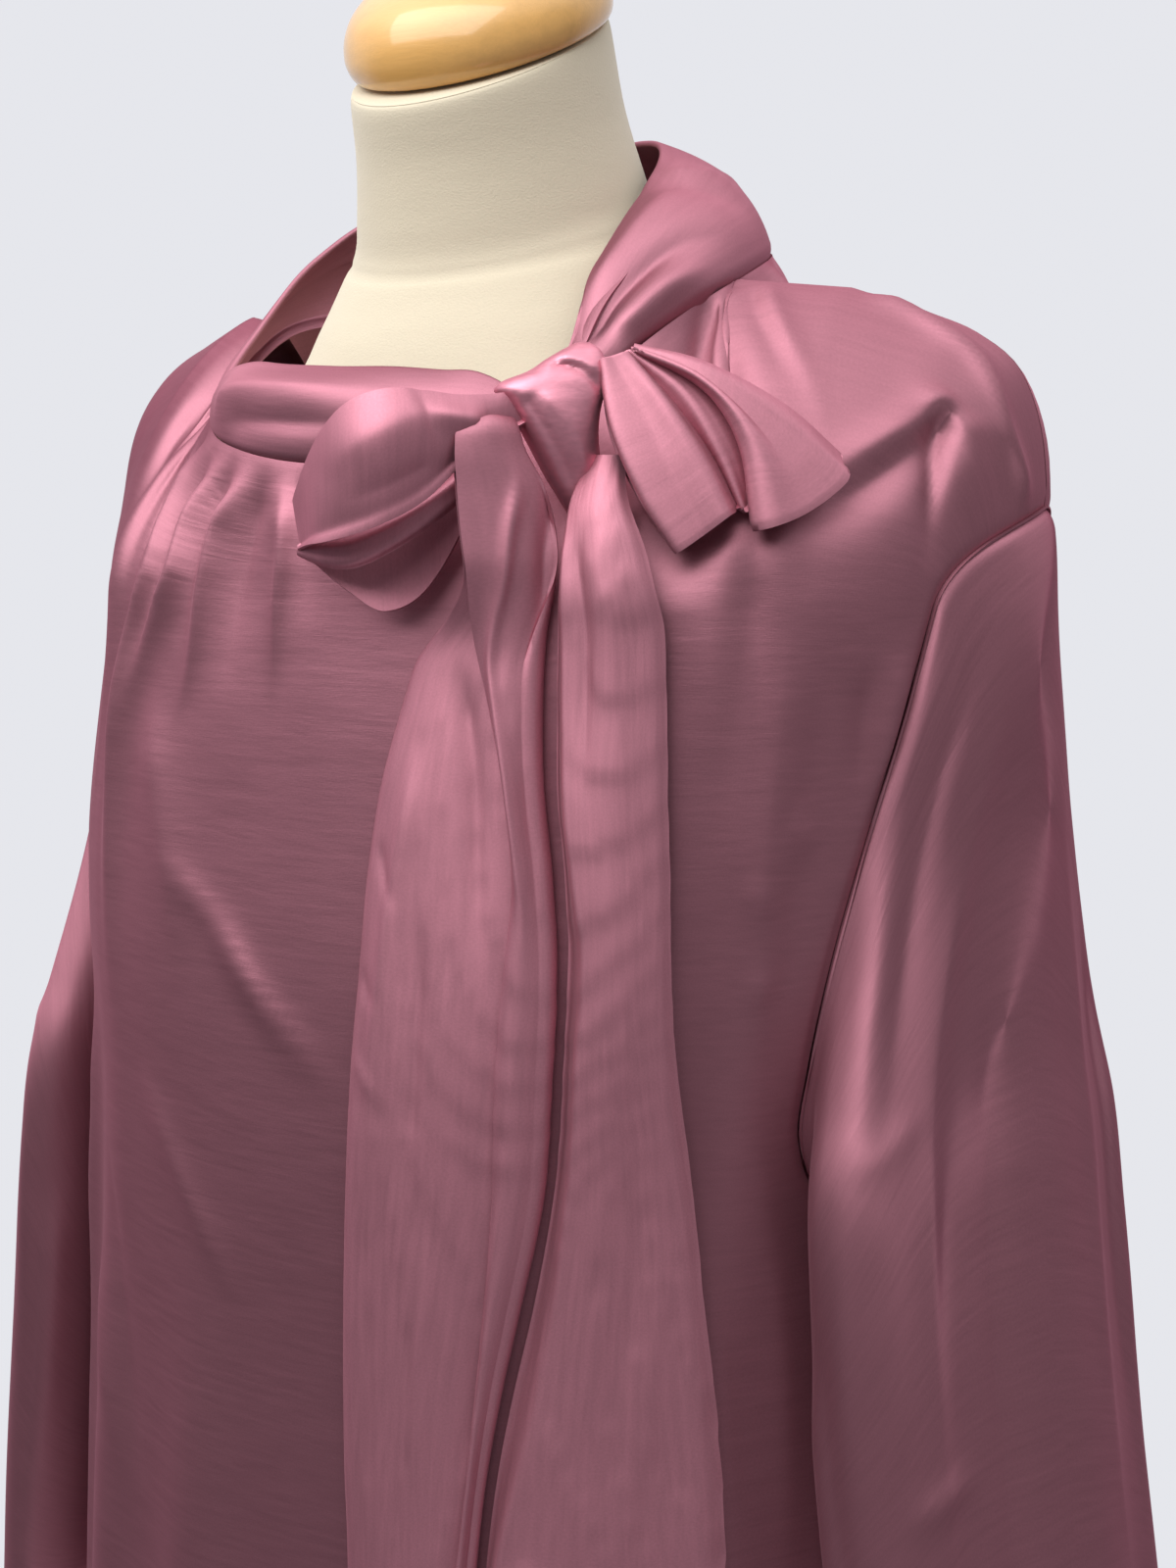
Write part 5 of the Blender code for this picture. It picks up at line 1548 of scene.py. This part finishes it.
def satin_finish(name, lengthwise=False):
    """Slubbed satin. Its streaks run across the panels, or along the ties, which are cut lengthwise. The
    ties' colour is lightened as a painted sheen.
    """
    finish = satin_base(name, 0.0 if lengthwise else SATIN_BRUSHED)

    def streaks(along, over, **settings):
        scale = (over, along, 1.0) if lengthwise else (along, over, 1.0)
        return finish.noise(finish.cloth_place(scale), **settings)

    slub = streaks(30, 420, detail=4, roughness=0.6, distortion=0.3)
    thread = streaks(200, 3600, detail=2, roughness=0.5)
    wrinkle = streaks(14, 70, detail=3, roughness=0.55, distortion=0.4)
    where = finish.noise(finish.cloth_place((7.0, 7.0, 1.0)), detail=2)
    cloud = finish.noise(finish.cloth_place((16.0, 22.0, 1.0)), detail=3)
    # The ties' colour is lightened here as a painted sheen, in place of their gleam under the light
    satin = shade(bpy.context.scene.blouse_colours.satin, TIE_PAINTED_SHEEN if lengthwise else 1.0)
    grain = finish.noise(finish.cloth_place((1100.0, 1100.0, 1.0)), detail=2, roughness=0.6)
    tone = finish.mix(slub * 0.5 + grain * 0.5, shade(satin, 0.66), shade(satin, 1.36))
    finish.feed("Base Color", finish.mix(cloud * 0.5, tone, shade(satin, 0.90)))
    finish.feed("Roughness", (0.49 if lengthwise else 0.47) + slub * 0.10 + thread * 0.06)
    soft = wrinkle * where * 0.6 + cloud * 0.5
    finish.bump(soft + slub * 0.06 + thread * 0.05, 0.0011, 0.7)
    return finish.material


def knot_finish(name):
    """Satin for the knot, whose folds run every way, so that its slubs have no way of their own. Its colour
    is lightened as a painted sheen.
    """
    finish = satin_base(name, 0.0)
    # The knot's colour is lightened here as a painted sheen, in place of its gleam under the light
    satin = shade(bpy.context.scene.blouse_colours.satin, KNOT_PAINTED_SHEEN)
    slub = finish.noise(finish.object_place((260, 260, 620)), detail=3)
    cloud = finish.noise(finish.object_place((40, 40, 60)), detail=2)
    tone = finish.mix(slub, shade(satin, 0.80), shade(satin, 1.22))
    finish.feed("Base Color", finish.mix(cloud * 0.5, tone, shade(satin, 0.90)))
    finish.feed("Roughness", 0.45 + slub * 0.12)
    finish.bump(slub * 0.2 + cloud * 0.8, 0.0008, 0.7)
    return finish.material


def jersey_finish():
    """The form's knitted cover."""
    finish = Finish("form_jersey", 0.82, 0.0, (("Sheen Weight", 0.2), ("Sheen Roughness", 0.5)))
    knit = finish.noise(finish.object_place((900, 900, 1300)), detail=2)
    cloud = finish.noise(finish.object_place((9, 9, 14)), detail=3)
    jersey = bpy.context.scene.blouse_colours.jersey
    tone = finish.mix(knit, shade(jersey, 0.94), shade(jersey, 1.05))
    finish.feed("Base Color", finish.mix(cloud * 0.4, tone, shade(jersey, 0.92)))
    finish.feed("Roughness", 0.76 + knit * 0.12)
    ripple = finish.noise(finish.object_place((26, 26, 70)), detail=2)
    finish.bump(knit * 0.35 + ripple * 0.8, 0.0006, 0.6)
    return finish.material


def wood_finish():
    """Turned and varnished wood, with its rings and pores."""
    coat = (("Coat Roughness", 0.08), ("Coat IOR", 1.5), ("Coat Weight", 0.7))
    finish = Finish("cap_wood", 0.3, 0.0, coat)
    wood = bpy.context.scene.blouse_colours.wood
    drift = finish.noise(finish.object_place((7, 18, 18)), detail=2)
    rings = finish.noise(finish.object_place((10, 150, 150)), detail=4, roughness=0.6, distortion=0.3)
    pores = finish.noise(finish.object_place((60, 1600, 1600)), detail=2)
    tone = finish.mix(rings, shade(wood, 0.62), shade(wood, 1.18))
    tone = finish.mix(drift * 0.6, tone, shade(wood, 1.10))
    finish.feed("Base Color", finish.mix(pores * 0.25, tone, shade(wood, 0.55)))
    finish.feed("Roughness", 0.26 + pores * 0.14)
    finish.bump(pores, 0.0002, 0.3)
    return finish.material


def metal_finish(name, colour, roughness, metallic):
    """Brushed steel or an even painted coat."""
    finish = Finish(name, roughness, metallic)
    brushed = finish.noise(finish.object_place((900, 900, 30)), detail=2)
    speck = finish.noise(finish.object_place((420, 420, 420)), detail=2)
    finish.feed("Base Color", finish.mix(speck, shade(colour, 0.93), shade(colour, 1.04)))
    finish.feed("Roughness", roughness - 0.05 + brushed * 0.12)
    finish.bump(brushed + speck, 0.0001, 0.4)
    return finish.material


def floor_finish():
    """Plain pale paper that fades out around the base."""
    finish = Finish("floor_paper", 0.9)
    floor = bpy.context.scene.blouse_colours.floor
    cloud = finish.noise(finish.object_place((1.5, 1.5, 1.5)), detail=3)
    finish.feed("Base Color", finish.mix(cloud, shade(floor, 0.98), shade(floor, 1.01)))
    finish.feed("Roughness", 0.85 + cloud * 0.1)
    where = finish.object_place((1.0, 1.0, 1.0))
    reach = finish.node("ShaderNodeVectorMath", {"operation": "LENGTH"}, {0: where}, 1)
    fade = {"Value": reach, 1: FLOOR_FADE[0], 2: FLOOR_FADE[1], 3: 1.0, 4: 0.0}
    smooth = {"interpolation_type": "SMOOTHSTEP"}
    finish.feed("Alpha", finish.node("ShaderNodeMapRange", smooth, fade))
    return finish.material


def studio_world(strength):
    """Pale surroundings, bright behind, above and to one side of the form, and dim on the other."""
    world = bpy.data.worlds.new("surroundings")
    world.use_nodes = True
    nodes = Nodes(world.node_tree)
    where = nodes.node("ShaderNodeTexCoord", {}, {}, "Generated")

    def towards(side, spread):
        """0 away from a side and 1 towards it, over a spread of cosines."""
        facing = nodes.node("ShaderNodeVectorMath", {"operation": "DOT_PRODUCT"}, {0: where, 1: side}, 1)
        values = {"Value": facing, 1: spread[0], 2: spread[1], 3: 0.0, 4: 1.0}
        return nodes.node("ShaderNodeMapRange", {"interpolation_type": "SMOOTHSTEP"}, values)

    dim = nodes.mix(towards(SKY_HALF_SIDE, SKY_HALF_SPREAD), SKY_DIM, SKY_HALF_DIM)
    walls = nodes.mix(towards(SKY_BRIGHT_SIDE, SKY_SPREAD), dim, SKY_BRIGHT)
    colour = nodes.mix(towards((0.0, 0.0, 1.0), CEILING_SPREAD), walls, CEILING_BRIGHT)
    background = world.node_tree.nodes["Background"].inputs
    world.node_tree.links.new(colour.socket, background["Color"])
    background["Strength"].default_value = strength
    return world


def number_setting(name, description, default, low, high, **kind):
    """A number that a user may change, between two limits."""
    return bpy.props.FloatProperty(
        name=name, description=description, default=default, min=low, max=high, **kind
    )


def colour_setting(name, description, default):
    """A colour that a user may change."""
    return bpy.props.FloatVectorProperty(
        name=name, description=description, default=default, min=0.0, max=1.0, subtype="COLOR"
    )


class BlouseSizes(bpy.types.PropertyGroup):
    """Sizes of the cloth that a user may change."""

    cloth_wall: number_setting(
        "Cloth thickness", "Wall of a single layer of satin", 0.0009, 0.0003, 0.002, unit="LENGTH"
    )
    tie_wall: number_setting(
        "Tie thickness", "Wall of the ties and of the bow", 0.0012, 0.0003, 0.003, unit="LENGTH"
    )
    crease_depth: number_setting(
        "Crease depth", "Depth of the creases, as a factor of their own sizes", 1.0, 0.0, 2.0,
        subtype="FACTOR"
    )


class BlouseColours(bpy.types.PropertyGroup):
    """Colours and gloss of the finishes."""

    satin: colour_setting("Satin", "Colour of the blouse's cloth", (0.410, 0.175, 0.222))
    satin_sheen: colour_setting(
        "Satin sheen", "Colour of the soft gleam at the satin's edges", (0.85, 0.45, 0.55)
    )
    satin_edge: colour_setting(
        "Satin edge", "Tint of the satin's reflections where it turns away", (0.45, 0.16, 0.22)
    )
    satin_gleam: number_setting(
        "Satin gleam", "How much the satin's threads reflect in their own colour", 0.85, 0.0, 1.0,
        subtype="FACTOR"
    )
    jersey: colour_setting("Form jersey", "Colour of the dress form's cover", (0.66, 0.585, 0.445))
    wood: colour_setting("Cap wood", "Colour of the turned neck cap", (0.78, 0.43, 0.13))
    steel: colour_setting("Pole steel", "Colour of the pole", (0.66, 0.67, 0.69))
    paint: colour_setting("Base paint", "Colour of the painted base", (0.80, 0.80, 0.79))
    floor: colour_setting("Floor", "Colour of the plain floor", (0.52, 0.52, 0.53))


class BlouseStage(bpy.types.PropertyGroup):
    """Camera and light."""

    lens: number_setting("Lens", "Focal length of the camera", CAMERA_LENS, 10.0, 200.0, unit="CAMERA")
    key_power: number_setting("Key light", "Power of the large soft light", 33.0, 0.0, 1000.0, unit="POWER")
    fill_power: number_setting(
        "Fill light", "Power of the weak light from the other side", 1.0, 0.0, 1000.0, unit="POWER"
    )
    sky: number_setting("Surroundings", "Strength of the pale surroundings", 1.0, 0.0, 5.0)


class BLOUSE_OT_panels(bpy.types.Operator):
    """Add the front and the back, with their gathers, creases, seams and hems"""

    bl_idname = "blouse.panels"
    bl_label = "Front and back"

    def execute(self, context):
        satin = satin_finish("satin_panels")
        wall = context.scene.blouse_sizes.cloth_wall
        for facing, node, flat in ((1, "front", (0.62, 0.63)), (-1, "back", (0.58, 0.66))):
            piece = cloth(node + "_cloth", panel_surface(facing), wall)
            finish_piece(piece, node, satin)
        return {"FINISHED"}


class BLOUSE_OT_sleeves(bpy.types.Operator):
    """Add both long sleeves, from their deep armholes to their plain open ends"""

    bl_idname = "blouse.sleeves"
    bl_label = "Sleeves"

    def execute(self, context):
        satin = satin_finish("satin_sleeves")
        wall = context.scene.blouse_sizes.cloth_wall
        for side, name, node in ((1, "sleeve_left", "left_sleeve"), (-1, "sleeve_right", "right_sleeve")):
            piece = cloth(name + "_cloth", sleeve_surface(side), wall, closed=True)
            finish_piece(piece, node, satin)
        return {"FINISHED"}


class BLOUSE_OT_collar(bpy.types.Operator):
    """Add the standing part of the tie collar, folded double along its top"""

    bl_idname = "blouse.collar"
    bl_label = "Collar"

    def execute(self, context):
        piece = cloth("collar_cloth", collar_surface(), context.scene.blouse_sizes.cloth_wall)
        finish_piece(piece, "neck_band", satin_finish("satin_collar"))
        return {"FINISHED"}


class BLOUSE_OT_bow(bpy.types.Operator):
    """Add the bow's knot and its two loops"""

    bl_idname = "blouse.bow"
    bl_label = "Bow"

    def execute(self, context):
        satin = satin_finish("satin_bow", lengthwise=True)
        wall = context.scene.blouse_sizes.tie_wall
        knot = ring_body("knot_cloth", knot_rings())
        finish_piece(knot, "knot", knot_finish("satin_knot"))
        right = cloth("loop_right_cloth", loop_right_surface(), wall)
        right = joined(right, cloth("loop_right_pleat", loop_pleat_surface(), wall))
        finish_piece(right, "bow_loop_right", satin)
        ground = Ground(bow_frame(front_under_bow()))
        left = cloth("loop_left_cloth", loop_left_surface(ground), wall)
        finish_piece(left, "bow_loop_left", satin)
        return {"FINISHED"}


class BLOUSE_OT_tails(bpy.types.Operator):
    """Add the two tails that fall from the knot over the front"""

    bl_idname = "blouse.tails"
    bl_label = "Tails"

    def execute(self, context):
        satin = satin_finish("satin_tails", lengthwise=True)
        wall = context.scene.blouse_sizes.tie_wall
        ground = Ground(front_under_bow()[:, (0, 2, 1)] * (1, 1, -1))
        right = cloth("tail_right_cloth", tail_right_surface(ground), wall, offset=0.0)
        finish_piece(right, "tie_tail_right", satin)
        left = cloth("tail_left_cloth", tail_left_surface(ground), wall, offset=0.0)
        finish_piece(left, "tie_tail_left", satin)
        return {"FINISHED"}


class BLOUSE_OT_form(bpy.types.Operator):
    """Add the jersey-covered dress form and its turned wooden cap"""

    bl_idname = "blouse.form"
    bl_label = "Dress form and cap"

    def execute(self, context):
        finish_piece(ring_body("form_jersey", form_rings()), "form_body", jersey_finish())
        finish_piece(ring_body("cap_turned", cap_rings()), "neck_cap", wood_finish())
        return {"FINISHED"}


class BLOUSE_OT_stand(bpy.types.Operator):
    """Add the pole and the round base that carry the form"""

    bl_idname = "blouse.stand"
    bl_label = "Pole and base"

    def execute(self, context):
        colours = context.scene.blouse_colours
        ends = [(POLE_RADIUS, BASE_TOP + SEAM_ROOM), (POLE_RADIUS, FORM_BOTTOM - SEAM_ROOM)]
        steel = metal_finish("pole_steel", colours.steel, 0.26, 1.0)
        finish_piece(ring_body("pole_tube", turned_rings(ends, POLE_FINE)), "pole", steel)
        paint = metal_finish("base_paint", colours.paint, 0.38, 0.0)
        base = ring_body("base_plate", turned_rings(BASE_PROFILE, BASE_FINE))
        finish_piece(base, "base", paint)
        return {"FINISHED"}


def add_area_light(name, place, aim, size, shine, power):
    """A rectangular light at a place, shining at a point."""
    turn = (Vector(aim) - Vector(place)).to_track_quat("-Z", "Y").to_euler()
    bpy.ops.object.light_add(type="AREA", location=place, rotation=turn)
    light = bpy.context.object
    light.name = name
    light.data.shape = "RECTANGLE"
    light.data.size, light.data.size_y = size
    light.data.energy = power
    light.data.color = shine


class BLOUSE_OT_stage(bpy.types.Operator):
    """Add the pale floor, the camera and the soft studio light"""

    bl_idname = "blouse.stage"
    bl_label = "Floor, camera and light"

    def execute(self, context):
        stage = context.scene.blouse_stage
        bpy.ops.object.select_all(action="DESELECT")
        bpy.ops.mesh.primitive_circle_add(vertices=128, radius=FLOOR_FADE[1], fill_type="NGON")
        floor = context.object
        floor.name = "floor"
        floor.data.materials.append(floor_finish())
        turn, rise = math.radians(CAMERA_AZIMUTH), math.radians(CAMERA_RISE)
        back = Vector((math.sin(turn) * math.cos(rise), -math.cos(turn) * math.cos(rise), math.sin(rise)))
        place = Vector(CAMERA_TARGET) + back * CAMERA_DISTANCE
        bpy.ops.object.camera_add(location=place, rotation=back.to_track_quat("Z", "Y").to_euler())
        camera = context.object
        camera.data.lens = stage.lens
        camera.data.sensor_width = CAMERA_FILM
        context.scene.camera = camera
        for light, power in zip(LIGHTS, (stage.key_power, stage.fill_power)):
            add_area_light(*light, power)
        context.scene.world = studio_world(stage.sky)
        context.scene.view_settings.view_transform = "Standard"
        return {"FINISHED"}


OPERATORS = (
    BLOUSE_OT_panels,
    BLOUSE_OT_sleeves,
    BLOUSE_OT_collar,
    BLOUSE_OT_bow,
    BLOUSE_OT_tails,
    BLOUSE_OT_form,
    BLOUSE_OT_stand,
    BLOUSE_OT_stage,
)


class BLOUSE_PT_pieces(bpy.types.Panel):
    """Pieces of the blouse and its form, with their sizes and colours"""

    bl_idname = "BLOUSE_PT_pieces"
    bl_label = "Blouse"
    bl_space_type = "VIEW_3D"
    bl_region_type = "UI"
    bl_category = "Blouse"

    def draw(self, context):
        for group in ("blouse_sizes", "blouse_colours", "blouse_stage"):
            settings = getattr(context.scene, group)
            for name in type(settings).__annotations__:
                self.layout.prop(settings, name)
        for operator in OPERATORS:
            self.layout.operator(operator.bl_idname)


GROUPS = (
    ("blouse_sizes", BlouseSizes),
    ("blouse_colours", BlouseColours),
    ("blouse_stage", BlouseStage),
)


def register():
    """Makes the groups, operators and panel known to Blender."""
    for name, group in GROUPS:
        bpy.utils.register_class(group)
        setattr(bpy.types.Scene, name, bpy.props.PointerProperty(type=group))
    for operator in OPERATORS:
        bpy.utils.register_class(operator)
    bpy.utils.register_class(BLOUSE_PT_pieces)


def unregister():
    """Takes them out again."""
    bpy.utils.unregister_class(BLOUSE_PT_pieces)
    for operator in reversed(OPERATORS):
        bpy.utils.unregister_class(operator)
    for name, group in reversed(GROUPS):
        delattr(bpy.types.Scene, name)
        bpy.utils.unregister_class(group)


def main():
    """Adds every piece in order."""
    register()
    bpy.ops.blouse.panels()
    bpy.ops.blouse.sleeves()
    bpy.ops.blouse.collar()
    bpy.ops.blouse.bow()
    bpy.ops.blouse.tails()
    bpy.ops.blouse.form()
    bpy.ops.blouse.stand()
    bpy.ops.blouse.stage()


if __name__ == "__main__":
    main()
